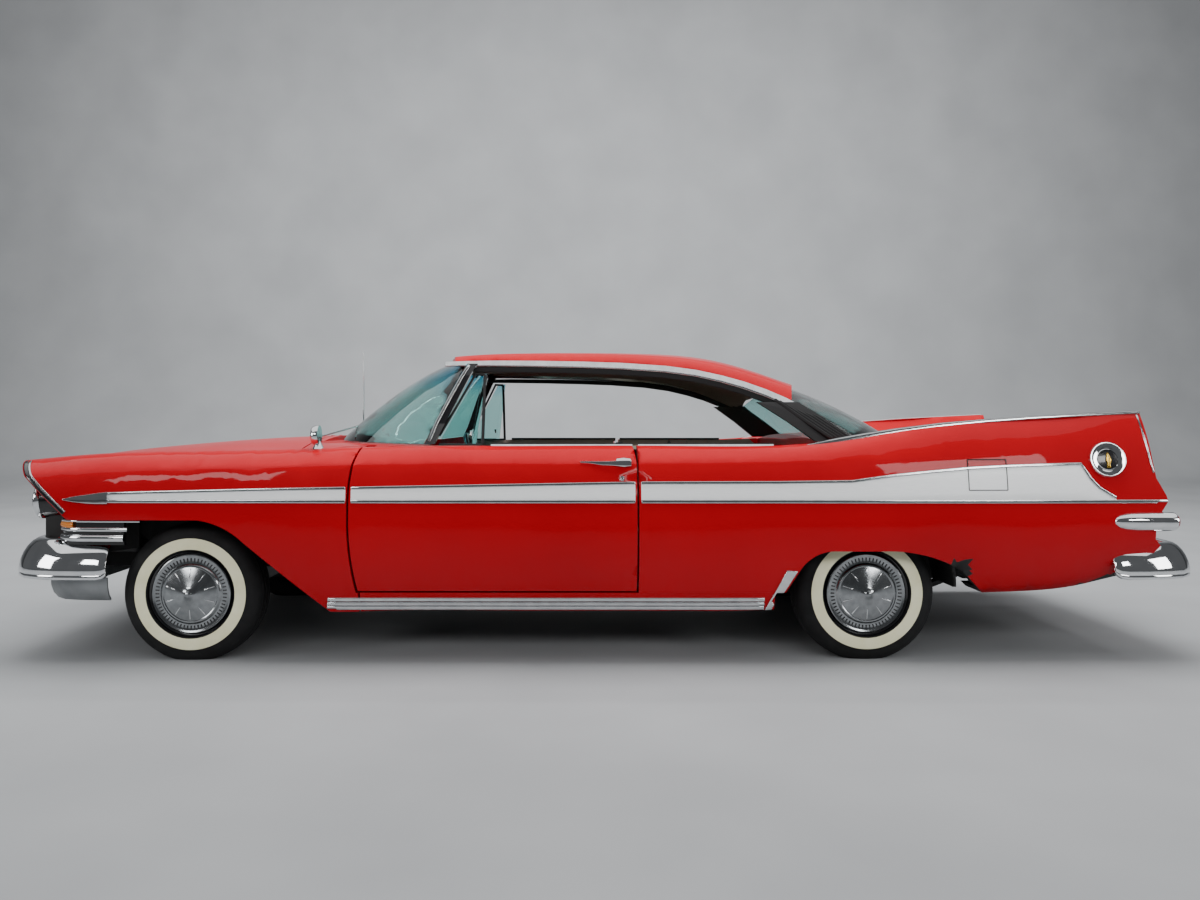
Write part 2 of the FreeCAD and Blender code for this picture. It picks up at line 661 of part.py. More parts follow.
def make_lower_bands():
    """Three ribbed bands that wrap from under the lamps back to the wheel arches."""
    bands = []
    for z, rear in CHROME_BANDS:
        depth = 24.0
        path = [(-2400, 560), (-2392, 760), (-2360, 880), (-2270, 925), (rear, 937)]
        inner = [(x + (18 if y < 900 else 0), y - 14) for x, y in reversed(path)]
        bands.append(prism_z(path + inner, z - depth / 2, z + depth / 2))
    backing = prism_z([(-2385, 560), (-2377, 752), (-2350, 866), (-2262, 911), (-2112, 922),
                       (-2112, 908), (-2255, 897), (-2336, 852), (-2362, 752), (-2370, 560)],
                      524, LAMP_Z - LAMP_BEZEL - FIT)
    return fused([backing] + bands)


def make_lamp(y):
    """One head lamp's pod, running back to the slanted panel."""
    front, back = -2545.0, -2330.0
    pod = cylinder_x(front, back, y, LAMP_Z, LAMP_BEZEL)
    recess = cylinder_x(front, front + 22, y, LAMP_Z, LAMP_RADIUS + FIT)
    slope = brow_line(50)
    keep = prism_y([(-2600, 905), (slope[0][0], 905), slope[1], (slope[1][0], 600), (-2600, 600)], 0, 1100)
    return pod.cut(recess).common(keep)


def make_lens(y):
    front = -2545.0
    lens = Part.makeSphere(150, at(front + 145, y, LAMP_Z))
    barrel = cylinder_x(front - 12, front + 28, y, LAMP_Z, LAMP_RADIUS)
    return lens.common(barrel).common(box(front - 12, front + 22 - FIT, 0, 1100, 500, 900))


def tail_lamp(grow):
    points = [(x, r + grow) for x, r in TAIL_LAMP]
    points = [(points[0][0] - grow, 0)] + points + [(points[-1][0] + grow, 0)]
    wire = Part.makePolygon([at(x, TAIL_LAMP_Y, TAIL_LAMP_Z + r) for x, r in points + points[:1]])
    return Part.Face(wire).revolve(V(0, TAIL_LAMP_Y, TAIL_LAMP_Z), V(1, 0, 0), 360)


# ---------------------------------------------------------------- under the body
def tunnel(clearance=0.0):
    ends = at(FIREWALL_X - FLOOR_THICK, 0, FLOOR_Z), at(KICK_X, 0, FLOOR_Z)
    return cylinder_between(ends[0], ends[1], TUNNEL_RADIUS + clearance)


def make_floor_pan():
    """Firewall, floor with its tunnel, heel board and trunk floor, pressed from one thickness."""
    t = FLOOR_THICK
    kick_x, rear_x = KICK_X, 2374.0
    side_y = HOUSE_Y - HOUSE_THICK - 2
    low, high = FLOOR_Z, TRUNK_FLOOR_Z
    floor = box(FIREWALL_X - t, kick_x, 0, 800 - FIT, low, low + t)
    wall = box(FIREWALL_X - t, FIREWALL_X, 0, 690, low, COWL_Z - FIT)
    post = box(FIREWALL_X - t, -1122, 800, 880, low, 865)
    link = box(FIREWALL_X - t, FIREWALL_X, 0, 880, low, 865)
    heel = box(kick_x - t, kick_x, 0, side_y, low, high + t)
    trunk = box(kick_x - t, rear_x, 0, side_y, high, high + t)
    side = box(1590, rear_x - 60, side_y - 8, 850, high, high + t).common(INNER)
    bulkhead = box(CABIN_REAR_X - t, CABIN_REAR_X, 0, side_y, high, DECK_Z - FIT)
    half = fused([floor, wall, post, link, heel, trunk, side, bulkhead])
    hollow = cylinder_between(at(FIREWALL_X - t - 1, 0, low), at(kick_x + 1, 0, low), TUNNEL_RADIUS - t)
    under = box(-1300, 800, -200, 200, 100, low)
    return whole(half).fuse(tunnel().cut(under)).cut(hollow)


def make_frame():
    """Two box rails, kicked up over the rear axle, with five cross members."""
    top, foot = FLOOR_Z - FIT, 238.0
    high_top, high_foot = TRUNK_FLOOR_Z - FIT, 405.0
    front_foot = RAIL_TOP_Z - 65
    end = TAIL_X - BUMPER_SWELL - 20
    rail = prism_y([(-end, front_foot), (-end, RAIL_TOP_Z), (-1560, RAIL_TOP_Z), (-1330, top),
                    (KICK_X + 2, top), (KICK_X + 160, high_top), (end, high_top), (end, high_foot),
                    (KICK_X + 190, high_foot), (KICK_X + 20, foot), (-1340, foot), (-1580, front_foot)],
                   RAIL_Y, RAIL_Y + RAIL_WIDTH)
    outriggers = [box(x, x + 60, RAIL_Y, 800, foot, top) for x in (-1180, -300, 560)]
    # x, width along x, half length, foot, top
    members = ((-2320, 80, RAIL_Y, front_foot, RAIL_TOP_Z), (KICK_X + 200, 80, RAIL_Y, 425, high_top),
               (1640, 80, RAIL_Y, high_foot, high_top), (2290, 80, RAIL_Y, high_foot, high_top),
               (-1070, 60, RAIL_Y + 10, 188, GEARBOX_FOOT_Z - FIT))
    members = [box(x, x + w, -1, y, z0, z1) for x, w, y, z0, z1 in members]
    drop = box(-1070, -1010, RAIL_Y - 20, RAIL_Y + 10, 188, 260)
    return whole(fused([rail, drop] + outriggers + members))


def make_engine():
    """A V8 with its valve covers, manifold, round air cleaner and fan, the bell and the gearbox."""
    foot, middle_x = SUSPENSION_TOP_Z + FIT, -1760
    bank = [(-1, foot), (140, foot), (140, 470), (290, 620), (170, 740), (80, 650), (-1, 650)]
    block = whole(prism_x(bank, -2040, -1420))
    cover = prism_x([(270, 638), (305, 673), (222, 756), (187, 721)], -2010, -1470)
    manifold = box(-1980, -1520, -90, 90, 649, 700)
    throat = cylinder_z(middle_x, 0, 55, 699, 766)
    cleaner = [cylinder_z(middle_x, 0, 172, 765, 826), cylinder_z(middle_x, 0, 182, 825, 838)]
    fan = [cylinder_x(-2120, -2039, 0, 560, 34), box(-2116, -2108, -190, 190, 535, 585),
           box(-2116, -2108, -25, 25, 370, 750)]
    gearbox = box(-1420, GEARBOX_REAR_X, -80, 80, GEARBOX_FOOT_Z, 295)
    bell = box(-1420, FIREWALL_X - FLOOR_THICK - 30, -180, 180, 250, 520)
    return fused([block, cover, mirrored(cover), manifold, throat, bell, gearbox] + cleaner + fan)


def make_front_suspension():
    """A cross member under the engine with a lower and an upper arm each side."""
    member = box(FRONT_X - 90, FRONT_X + 90, -1, RAIL_Y, 250, SUSPENSION_TOP_Z)
    tower = box(FRONT_X - 70, FRONT_X + 70, RAIL_Y - 60, RAIL_Y - FIT, SUSPENSION_TOP_Z - 1, 480)
    low_z, high_z = KINGPIN_ZS[0] - 30, KINGPIN_ZS[1]
    ball, neck = KINGPIN_Y + 34, KINGPIN_Y - 90
    lower = prism_z([(FRONT_X - 90, 300), (FRONT_X - 90, 480), (FRONT_X - 40, neck), (FRONT_X - 40, ball),
                     (FRONT_X + 40, ball), (FRONT_X + 40, neck), (FRONT_X + 90, 480), (FRONT_X + 90, 300)],
                    low_z, low_z + 30 - FIT)
    hanger = box(FRONT_X - 60, FRONT_X + 60, 300, RAIL_Y - 2, low_z, 251)
    rail_side = RAIL_Y + RAIL_WIDTH + FIT
    upper = box(FRONT_X - 38, FRONT_X + 38, rail_side, ball - 2, high_z + FIT, high_z + 22)
    stand = box(FRONT_X - 38, FRONT_X + 38, rail_side, rail_side + 40, high_z + FIT, 480)
    bridge = box(FRONT_X - 38, FRONT_X + 38, RAIL_Y - 30, rail_side + 40, RAIL_TOP_Z + FIT, 480)
    bridge = bridge.cut(box(-3000, 0, APRON_Y - FIT, APRON_Y + 14 + FIT, RAIL_TOP_Z + 1 - FIT, 600))
    return whole(fused([member, tower, lower, hanger, upper, stand, bridge]))


def make_knuckle():
    """King pin, spindle and steering arm, right side."""
    low, high = KINGPIN_ZS
    pin = cylinder_z(FRONT_X, KINGPIN_Y, KINGPIN_RADIUS, low, high)
    spindle = cylinder_y(FRONT_X, AXLE_Z, 26, KINGPIN_Y, FRONT_TRACK / 2 - HUB_SEAT - FIT)
    flange = cylinder_y(FRONT_X, AXLE_Z, 60, KINGPIN_Y + 20, KINGPIN_Y + 28)
    arm = box(FRONT_X, FRONT_X + 120, KINGPIN_Y - 34, KINGPIN_Y - 12, AXLE_Z - 34, AXLE_Z - 14)
    boss = cylinder_z(FRONT_X, KINGPIN_Y, KINGPIN_RADIUS + 14, AXLE_Z - 45, AXLE_Z + 45)
    return fused([pin, boss, spindle, flange, arm])


def make_rear_axle():
    """Beam, differential and drive shaft, with a leaf spring each side hung from the frame."""
    end = REAR_TRACK / 2 - HUB_SEAT - FIT
    beam = cylinder_y(REAR_X, AXLE_Z, 38, -end, end)
    housing = Part.makeSphere(120, at(REAR_X, 0, AXLE_Z))
    nose = at(REAR_X - 210, 0, AXLE_Z)
    joint = at(GEARBOX_REAR_X + 42, 0, 258)
    shaft = [cylinder_between(nose, at(REAR_X, 0, AXLE_Z), 55), cylinder_between(joint, nose, 32),
             cylinder_between(at(GEARBOX_REAR_X + FIT, 0, joint.z), joint, 36), Part.makeSphere(36, joint),
             Part.makeSphere(50, nose)]
    side_y = RAIL_Y + RAIL_WIDTH
    spring_y, front_x, rear_x, leaf = side_y + 16, REAR_X - 402, REAR_X + 530, 22.0
    front_eye, rear_eye = at(front_x, spring_y, 330), at(rear_x, spring_y, 372)
    seat = at(REAR_X, spring_y, AXLE_Z - 60)
    down = V(0, 0, -leaf)
    outline = [Part.Arc(front_eye, seat, rear_eye).toShape(), line(rear_eye, rear_eye + down),
               Part.Arc(rear_eye + down, seat + down, front_eye + down).toShape(),
               line(front_eye + down, front_eye)]
    spring = prism_of(outline, V(0, 60, 0))
    pad = box(REAR_X - 55, REAR_X + 55, spring_y, spring_y + 60, seat.z - 12, AXLE_Z)
    shackle = box(rear_x - 28, rear_x + 4, spring_y, spring_y + 60, 355, TRUNK_FLOOR_Z - 10)
    hangers = [box(rear_x - 28, rear_x + 4, side_y + FIT, spring_y + 1, 425, TRUNK_FLOOR_Z - 10),
               box(front_x, front_x + 30, side_y + FIT, spring_y + 1, 290, 322)]
    side = [spring, pad, shackle] + hangers
    return fused([beam, housing] + shaft + side + [mirrored(s) for s in side])


def pipe(points, radius):
    """Straight runs joined by ball corners."""
    parts = [cylinder_between(a, b, radius) for a, b in zip(points, points[1:])]
    parts += [Part.makeSphere(radius, p) for p in points[1:-1]]
    return fused(parts)


def make_exhaust():
    """From beside the gearbox under the floor, over the axle and out at the right of the tank."""
    y, low, high, tail = EXHAUST_Y, 242.0, 385.0, 345.0
    run = [at(-1400, y, 330), at(-1260, y, low), at(KICK_X + 20, y, low), at(REAR_X - 220, y, high),
           at(REAR_X + 170, y, high), at(REAR_X + 330, y, tail), at(2560, y, tail)]
    muffler = cylinder_x(-260, 360, y, 262, 80)
    muffler = muffler.common(box(-400, 500, 0, 400, 185, FLOOR_Z - 9))
    hangers = [box(x, x + 20, y - 10, y + 10, z0, z1 - FIT) for x, z0, z1 in
               ((-700, low, FLOOR_Z), (2000, tail, TRUNK_FLOOR_Z))]
    return fused([pipe(run, 25), muffler] + hangers)


def make_fuel_tank():
    tank = box(1760, 2240, -410, EXHAUST_Y - 60, 300, TRUNK_FLOOR_Z - FIT)
    lower_edges = [e for e in tank.Edges if e.BoundBox.ZMax < 301]
    return tank.makeFillet(40, lower_edges)


# ---------------------------------------------------------------- cabin
def make_seat(x, half_width, rear_floor_x):
    """A bench with a raked back. x is the cushion's front edge; past rear_floor_x the floor is higher."""
    floor, step = FLOOR_Z + FLOOR_THICK + FIT, TRUNK_FLOOR_Z + FLOOR_THICK + FIT
    base_x = min(x + 500, rear_floor_x)
    cushion = prism_y([(x, floor), (x, 560), (x + 40, 595), (x + 480, 555), (x + 480, step + 20),
                       (base_x, step + 20), (base_x, floor)], -half_width, half_width)
    top = BELT_Z - 30
    back = prism_y([(x + 440, step + 15), (x + 550, top - 10), (x + 575, top + 6), (x + 620, top),
                    (x + 640, top - 30), (x + 580, step + 5)], -half_width, half_width)
    return fused([cushion, back]).cut(tunnel(FIT))


def make_dashboard():
    top = COWL_Z - FIT
    profile = [(FIREWALL_X + FIT, top), (-1010, top), (-925, 886), (-905, 860), (-930, 830), (-960, 740),
               (-990, 700), (-1010, 700), (-1040, 850), (FIREWALL_X + FIT, 860)]
    return prism_y(profile, -680, 680)


def make_steering_wheel():
    """A two-spoke wheel on a column that runs through the dashboard to the firewall."""
    centre = at(-585, -370, 815)
    axis = V(1, 0, 0.4)
    axis.normalize()
    across = V(0, 1, 0)
    up = across.cross(axis)
    rim = Part.makeTorus(205, 11, centre, axis)
    reach = (centre.x - station(FIREWALL_X)) / axis.x + 30
    column = cylinder_between(centre - axis * reach, centre, 24)
    spokes = [cylinder_between(centre - across * 204, centre + across * 204, 9),
              cylinder_between(centre, centre + up * 204, 9)]
    hub = cylinder_between(centre - axis * 30, centre + axis * 14, 42)
    return fused([rim, column.cut(box(-1400, FIREWALL_X + FIT, -600, 0, 400, 900)), hub] + spokes)


# ---------------------------------------------------------------- wheels
def make_tyre(x, y, side):
    """Seen in section with few corners. Side is 1 on the right."""
    half = TYRE_WIDTH / 2
    seat, flange = RIM_WIDTH / 2 - FIT, RIM_RADIUS + RIM_FLANGE + FIT
    profile = [(-seat, RIM_RADIUS + FIT), (-seat, flange), (-half + 9, flange + 2), (-half, 245),
               (-half + 8, 282), (-half + 26, TYRE_RADIUS - 6), (-half + 42, TYRE_RADIUS)]
    profile = profile + [(-w, r) for w, r in reversed(profile)]
    return revolve_y([(y + side * w, r) for w, r in profile], x, AXLE_Z)


def make_wheel(x, y, side):
    """Rim, disc and brake drum turned in one, with the cone of the wheel cover outside."""
    half = RIM_WIDTH / 2
    flange = RIM_RADIUS + RIM_FLANGE
    profile = [
        (-half - 7, flange), (-half, flange), (-half, RIM_RADIUS), (half, RIM_RADIUS), (half, flange),
        (half + 7, flange), (half + 7, COVER_RADIUS), (half + 22, COVER_RADIUS - 14), (half + 16, 118),
        (half + 44, 14), (half + 46, 0),
        (-HUB_SEAT, 0), (-HUB_SEAT, HUB_RADIUS), (-6, HUB_RADIUS), (-6, 140), (-48, 140), (-48, 150),
        (-2, 150),
        (10, 160), (-half - 7, 168),
    ]
    return revolve_y([(y + side * w, r) for w, r in profile], x, AXLE_Z)


# ---------------------------------------------------------------- hinges
def door_pockets():
    """Pockets in the door's front edge for the fixed arms, and the pins left standing in them."""
    pockets, pins = [], []
    for z0, z1 in DOOR_HINGE_ZS:
        pockets.append(box(DOOR_FRONT_X - 6, DOOR_HINGE_X + 14, DOOR_INNER_Y - 1, DOOR_HINGE_Y + 10, z0, z1))
        pins.append(cylinder_z(DOOR_HINGE_X, DOOR_HINGE_Y, PIN_RADIUS, z0, z1))
    return pockets, pins


def door_arms():
    """Cranked arms from the hinge post to the eyes round the pins."""
    arms = []
    for z0, z1 in DOOR_HINGE_ZS:
        low, high = z0 + 8, z1 - 8
        x, y = DOOR_HINGE_X, DOOR_HINGE_Y
        crank = prism_z([(x - 6, y), (x + 6, y), (x - 28, y - 96), (-1124, y - 96), (-1124, y - 82),
                         (x - 39, y - 82)], low, high)
        eye = cylinder_z(x, y, PIN_RADIUS + 3.5, low, high)
        arms.append(crank.fuse(eye).cut(cylinder_z(x, y, PIN_RADIUS + PIN_PLAY, low, high)))
    return arms


def surface_z(x, y):
    """Height of the body's upper surface at a point of its plan."""
    probe = line(at(x, y, 700), at(x, y, 1300)).common(ENVELOPE)
    return probe.BoundBox.ZMax


def lid_hinge(gap_front, fixed_side):
    """Half of a small piano hinge in the gap ahead of or behind a lid. fixed_side is -1 where the body
    is ahead of the gap. Gives the body's eyes and the lid's pins, right side."""
    x = gap_front + PANEL_GAP / 2
    z = surface_z(x, 0) - 1
    eye_radius = PANEL_GAP / 2 - FIT
    y0, y1 = LID_KNUCKLE_YS
    third = (y1 - y0) / 3
    pin = cylinder_y(x, z, LID_PIN_RADIUS, y0, y1)

    def knuckle(y_low, y_high, side):
        near, far = sorted((x, x + side * (PANEL_GAP / 2 + 3)))
        tab = box(near, far, y_low, y_high, z - eye_radius, z - 0.5)
        return cylinder_y(x, z, eye_radius, y_low, y_high).fuse(tab)

    eye = knuckle(y0 + third + FIT, y1 - third - FIT, fixed_side)
    eye = eye.cut(cylinder_y(x, z, LID_PIN_RADIUS + PIN_PLAY, y0, y1))
    carried = [knuckle(y0, y0 + third, -fixed_side), knuckle(y1 - third, y1, -fixed_side), pin]
    return eye, fused(carried)


# ---------------------------------------------------------------- small pieces outside
def make_mirror():
    """A mirror on a stalk on the crest of the left front fender."""
    x, y = -1280.0, -795.0
    foot = Part.makeCone(26, 9, 34, at(x, y, 952), V(0, 0, 1))
    stalk = cylinder_z(x, y, 7, 960, 1000)
    head = Part.makeSphere(46, at(x, y, 1012)).common(box(x - 26, x + 6, y - 60, y + 60, 950, 1100))
    return fused([foot, stalk, head]).cut(mirrored(fender))


def make_antenna():
    x, y = -1413.0, 775.0
    base = cylinder_z(x, y, 14, 948, 974)
    mast = cylinder_z(x, y, 4, 970, 1498)
    return base.fuse(mast).cut(fender)


# ---------------------------------------------------------------- build
def pair(shape):
    return Part.makeCompound([shape, mirrored(shape)])


fender = make_fender()
pockets, pins = door_pockets()
door = make_door().cut(pockets).fuse(pins)
vent = make_vent_window()
rocker = make_rocker()
quarter = keep_largest(make_quarter().cut(tail_lamp(FIT)))
knuckle = make_knuckle()

for side, turn, sign in (("right", lambda shape: shape, 1), ("left", mirrored, -1)):
    save("front_fender_" + side, turn(fender))
    save("door_" + side, turn(door))
    save("vent_window_" + side, turn(vent))
    save("quarter_panel_" + side, turn(quarter))
    save("knuckle_" + side, turn(knuckle))
    for end, x, track in (("front", FRONT_X, FRONT_TRACK), ("rear", REAR_X, REAR_TRACK)):
        save("tyre_%s_%s" % (end, side), make_tyre(x, sign * track / 2, sign))
        save("wheel_%s_%s" % (end, side), make_wheel(x, sign * track / 2, sign))

cowl_eye, hood_pin = lid_hinge(HOOD_REAR_X, 1)
deck_eye, lid_pin = lid_hinge(LID_FRONT_X - PANEL_GAP, -1)
roof = make_roof()
deck = make_rear_deck().fuse([deck_eye, mirrored(deck_eye)])
floor_pan = make_floor_pan()
arms = door_arms()
floor_pan = floor_pan.fuse(arms + [mirrored(a) for a in arms])
front_bumper = make_front_bumper()
tail_panel = make_tail_panel().cut([tail_lamp(FIT), mirrored(tail_lamp(FIT))])
rear_bumper = keep_largest(make_rear_bumper().cut([quarter, mirrored(quarter), tail_panel]))
column = make_steering_wheel()
pods = fused([make_lamp(y) for y in LAMP_YS])
lenses = [make_lens(y) for y in LAMP_YS]

NODES = {
    "rockers": pair(rocker),
    "hood": make_hood().fuse([hood_pin, mirrored(hood_pin)]),
    "cowl": make_cowl().fuse([cowl_eye, mirrored(cowl_eye)]),
    "rear_deck": deck,
    "trunk_lid": make_trunk_lid().fuse([lid_pin, mirrored(lid_pin)]),
    "tail_panel": tail_panel,
    "roof": roof,
    "windshield_frame": make_screen_frame().cut(roof),
    "windshield": make_pane(SCREEN).cut(roof),
    "backlight": make_pane(BACKLIGHT).cut([roof, deck]),
    "front_bumper": front_bumper,
    "rear_bumper": rear_bumper,
    "grille": make_grille(),
    "lower_bands": pair(make_lower_bands().cut(front_bumper)),
    "lamp_pods": pair(pods.cut(lenses)),
    "lamp_lenses": Part.makeCompound(lenses + [mirrored(s) for s in lenses]),
    "tail_lamps": pair(tail_lamp(0.0)),
    "floor_pan": floor_pan,
    "frame_rails": make_frame().cut([front_bumper, rear_bumper]),
    "engine_block": make_engine(),
    "radiator": box(-2300, -2250, -340, 340, RAIL_TOP_Z + FIT, 830),
    "front_suspension": make_front_suspension(),
    "rear_axle": make_rear_axle(),
    "exhaust": make_exhaust(),
    "fuel_tank": make_fuel_tank(),
    "front_seat": make_seat(-380, 700, 9999),
    "rear_seat": make_seat(270, HOUSE_Y - HOUSE_THICK - 6, KICK_X - FLOOR_THICK - FIT),
    "dashboard": make_dashboard().cut(column),
    "steering_wheel": column,
    "fender_mirror": make_mirror(),
    "antenna": make_antenna(),
}
for name, shape in NODES.items():
    save(name, shape)
    if not shape.isValid():
        print("not valid:", name)
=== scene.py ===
# %% [markdown]
# # A late 1950s two-door hardtop, dressed over its engineering solids
# The solids already have the real size and the real joints. This lesson gives each of them its surface
# and adds what sheet metal, chromium, glass and cloth show from close by. Everything is in metres,
# +X points to the tail, -Y is the driver's side and +Z is up.

# %% Load the frame
import bpy
import bmesh
import json
import math
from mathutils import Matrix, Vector


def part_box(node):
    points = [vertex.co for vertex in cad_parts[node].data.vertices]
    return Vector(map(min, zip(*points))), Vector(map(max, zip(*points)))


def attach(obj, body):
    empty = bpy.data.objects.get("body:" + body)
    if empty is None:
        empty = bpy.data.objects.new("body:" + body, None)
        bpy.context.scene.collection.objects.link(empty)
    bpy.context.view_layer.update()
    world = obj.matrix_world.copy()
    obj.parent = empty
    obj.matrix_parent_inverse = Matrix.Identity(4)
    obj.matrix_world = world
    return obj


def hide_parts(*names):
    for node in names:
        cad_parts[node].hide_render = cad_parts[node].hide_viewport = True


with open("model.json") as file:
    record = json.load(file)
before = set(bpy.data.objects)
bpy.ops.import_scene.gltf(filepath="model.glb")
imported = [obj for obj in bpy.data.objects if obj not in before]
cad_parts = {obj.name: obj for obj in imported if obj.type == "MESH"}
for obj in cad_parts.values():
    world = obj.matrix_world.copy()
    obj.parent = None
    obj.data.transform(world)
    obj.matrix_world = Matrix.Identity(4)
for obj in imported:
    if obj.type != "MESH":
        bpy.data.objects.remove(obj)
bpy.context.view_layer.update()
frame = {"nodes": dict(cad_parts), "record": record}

nodes = frame["nodes"]
body_of = {n: body for body, members in frame["record"]["behaviour"]["bodies"].items() for n in members}

# %% [markdown]
# ## Camera
# The car is seen square from the driver's side at chest height. A 28.7 mm lens stands 5.1 m from the
# middle line, a little ahead of the car's middle, and the frame is shifted slightly, which keeps the
# verticals upright. Turning the camera instead would make them lean.

# %% Camera
camera_data = bpy.data.cameras.new("camera")
camera_data.lens = 28.71
camera_data.sensor_width = 36.0
camera_data.shift_x = 0.0258
camera_data.shift_y = -0.0225
camera_data.clip_end = 200.0
camera = bpy.data.objects.new("camera", camera_data)
camera.location = (-0.152, -5.1, 1.068)
camera.rotation_euler = (math.radians(90), 0, 0)
bpy.context.scene.collection.objects.link(camera)
bpy.context.scene.camera = camera
print("camera at", tuple(round(v, 3) for v in camera.location))

# %% [markdown]
# ## Selecting
# An operator acts on all that is selected, so every step starts by saying what that is. `only` selects
# objects, `edit` opens one of them, and `choose` picks its corners, edges or faces by a test on place or
# direction, which stays right when a size changes, where picking by number would not. Sizes are easier
# to read in millimetres, so `mm` turns them to metres.

# %% Selecting
def mm(*values):
    return Vector(values) * 0.001


def only(*pieces):
    """Leaves edit mode and selects these objects, the first one active."""
    if bpy.context.object is not None and bpy.context.object.mode != "OBJECT":
        bpy.ops.object.mode_set(mode="OBJECT")
    bpy.ops.object.select_all(action="DESELECT")
    for piece in pieces:
        piece.select_set(True)
        bpy.context.view_layer.objects.active = pieces[0]


def everything():
    bpy.ops.mesh.select_all(action="SELECT")


def edit(piece):
    """Opens one object in edit mode, all selected."""
    only(piece)
    bpy.ops.object.mode_set(mode="EDIT")
    everything()


def choose(piece, part, test):
    """In edit mode, selects the verts, edges or faces that pass a test, and nothing else."""
    modes = {"verts": "VERT", "edges": "EDGE", "faces": "FACE"}
    bpy.ops.mesh.select_mode(type=modes[part])
    bpy.ops.mesh.select_all(action="DESELECT")
    mesh = bmesh.from_edit_mesh(piece.data)
    chosen = [element for element in getattr(mesh, part) if test(element)]
    for element in chosen:
        element.select_set(True)
    mesh.select_flush_mode()
    bmesh.update_edit_mesh(piece.data)
    return len(chosen)


print("selecting: only, edit, choose")

# %% [markdown]
# ## Shaping
# Most small parts start as a block or a turned ring. `start` adds a primitive and opens it in edit mode,
# `move` and `stretch` act on what is selected, and `soften` rounds every edge, because no pressed or cast
# part has a sharp one. `modify` adds a modifier and applies it at once, so the mesh is what is seen.

# %% Shaping
def start(kind, **settings):
    """Adds a primitive, bakes its place into its mesh and opens it in edit mode, all selected."""
    only()
    getattr(bpy.ops.mesh, "primitive_%s_add" % kind)(**settings)
    bpy.ops.object.transform_apply(location=True, rotation=True, scale=True)
    bpy.ops.object.mode_set(mode="EDIT")
    bpy.ops.mesh.select_mode(type="VERT")
    everything()
    return bpy.context.object


def move(*way):
    """Moves what is selected, in millimetres."""
    bpy.ops.transform.translate(value=mm(*way))


def stretch(*factors, about=(0, 0, 0)):
    """Resizes what is selected about a point, in metres."""
    bpy.ops.transform.resize(value=factors, center_override=about)


def soften(width, segments):
    """Rounds all edges by a width in millimetres and leaves all selected."""
    everything()
    bpy.ops.mesh.bevel(offset=width * 0.001, segments=segments)
    everything()


def block(size, middle=(0, 0, 0), edge=0, segments=3):
    """A block of a size round a middle, in millimetres, with its edges rounded if a width is given."""
    piece = start("cube", size=0.001, location=(0, 0, 0))
    stretch(*size)
    if edge:
        soften(edge, segments)
    move(*middle)
    return piece


def modify(piece, kind, **settings):
    """Adds a modifier and applies it."""
    only(piece)
    modifier = piece.modifiers.new(kind.title(), kind)
    for key, value in settings.items():
        setattr(modifier, key, value)
    bpy.ops.object.modifier_apply(modifier=modifier.name)


print("shaping: start, move, stretch, soften, block, modify")

# %% [markdown]
# ## Closing a piece
# A finished piece gets its name, its shading, its finish and the body that carries it. The car is the
# same on both sides but for its mirror and aerial, so a part is modelled on the driver's side and `pair`
# mirrors it as a mesh of its own, because each door carries its own copy. `painted_faces` gives part of
# a piece a second finish, as masking does in a paint shop.

# %% Closing a piece
def done(piece, name, body, paint, angle=35):
    """Closes a new piece."""
    only(piece)
    bpy.ops.object.transform_apply(location=True, rotation=True, scale=True)
    bpy.ops.object.shade_smooth_by_angle(angle=math.radians(angle))
    piece.name = name
    piece.data.name = name
    piece.data.materials.clear()
    piece.data.materials.append(paint)
    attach(piece, body)
    return piece


def copy_of(piece, name):
    """The same piece again with its own mesh."""
    twin = bpy.data.objects.new(name, piece.data.copy())
    bpy.context.scene.collection.objects.link(twin)
    return twin


def pair(piece, name, body, paint, angle=35):
    """Closes a piece of the driver's side and mirrors it, its faces turned outwards again."""
    done(piece, name + "_left", body, paint, angle)
    twin = copy_of(piece, name + "_right")
    edit(twin)
    stretch(1, -1, 1)
    bpy.ops.mesh.flip_normals()
    only(twin)
    twin.data.name = twin.name
    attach(twin, body.replace("left", "right"))
    return piece


def painted_faces(piece, paint, test):
    """Gives faces a second finish by a test on their middle and their direction. Says how many."""
    piece.data.materials.append(paint)
    edit(piece)
    count = choose(piece, "faces", lambda f: test(f.calc_center_median(), f.normal))
    piece.active_material_index = len(piece.data.materials) - 1
    bpy.ops.object.material_slot_assign()
    only(piece)
    return count


print("closing: done, pair, painted_faces")

# %% [markdown]
# ## Finishes
# Each finish starts from the real material. Colours are written as sRGB hex and turned to linear light
# by one function. `add` puts a node in a tree: settings are properties, `inputs` holds numbers for
# sockets or the outputs that feed them, and `stops` are the colours of a ramp. `finish` joins the nodes
# that every paint here needs: a pattern, the shades it runs through, and its relief. One smooth colour
# would look like plastic, whatever its roughness.

# %% Tools for finishes
def colour(code):
    """sRGB hex to linear RGBA."""
    levels = [int(code[i:i + 2], 16) / 255 for i in (1, 3, 5)]
    return [v / 12.92 if v <= 0.04045 else ((v + 0.055) / 1.055) ** 2.4 for v in levels] + [1.0]


def add(tree, kind, inputs=None, stops=(), **settings):
    """Adds one node with its settings, colour stops, numbers and links."""
    new = tree.nodes.new("ShaderNode" + kind)
    for key, value in settings.items():
        setattr(new, key, value)
    while stops and len(new.color_ramp.elements) < len(stops):
        new.color_ramp.elements.new(0.5)
    for number, (position, code) in enumerate(stops):
        new.color_ramp.elements[number].position = position
        new.color_ramp.elements[number].color = colour(code)
    for socket, value in (inputs or {}).items():
        if isinstance(value, bpy.types.NodeSocket):
            tree.links.new(value, new.inputs[socket])
        else:
            new.inputs[socket].default_value = value
    return new


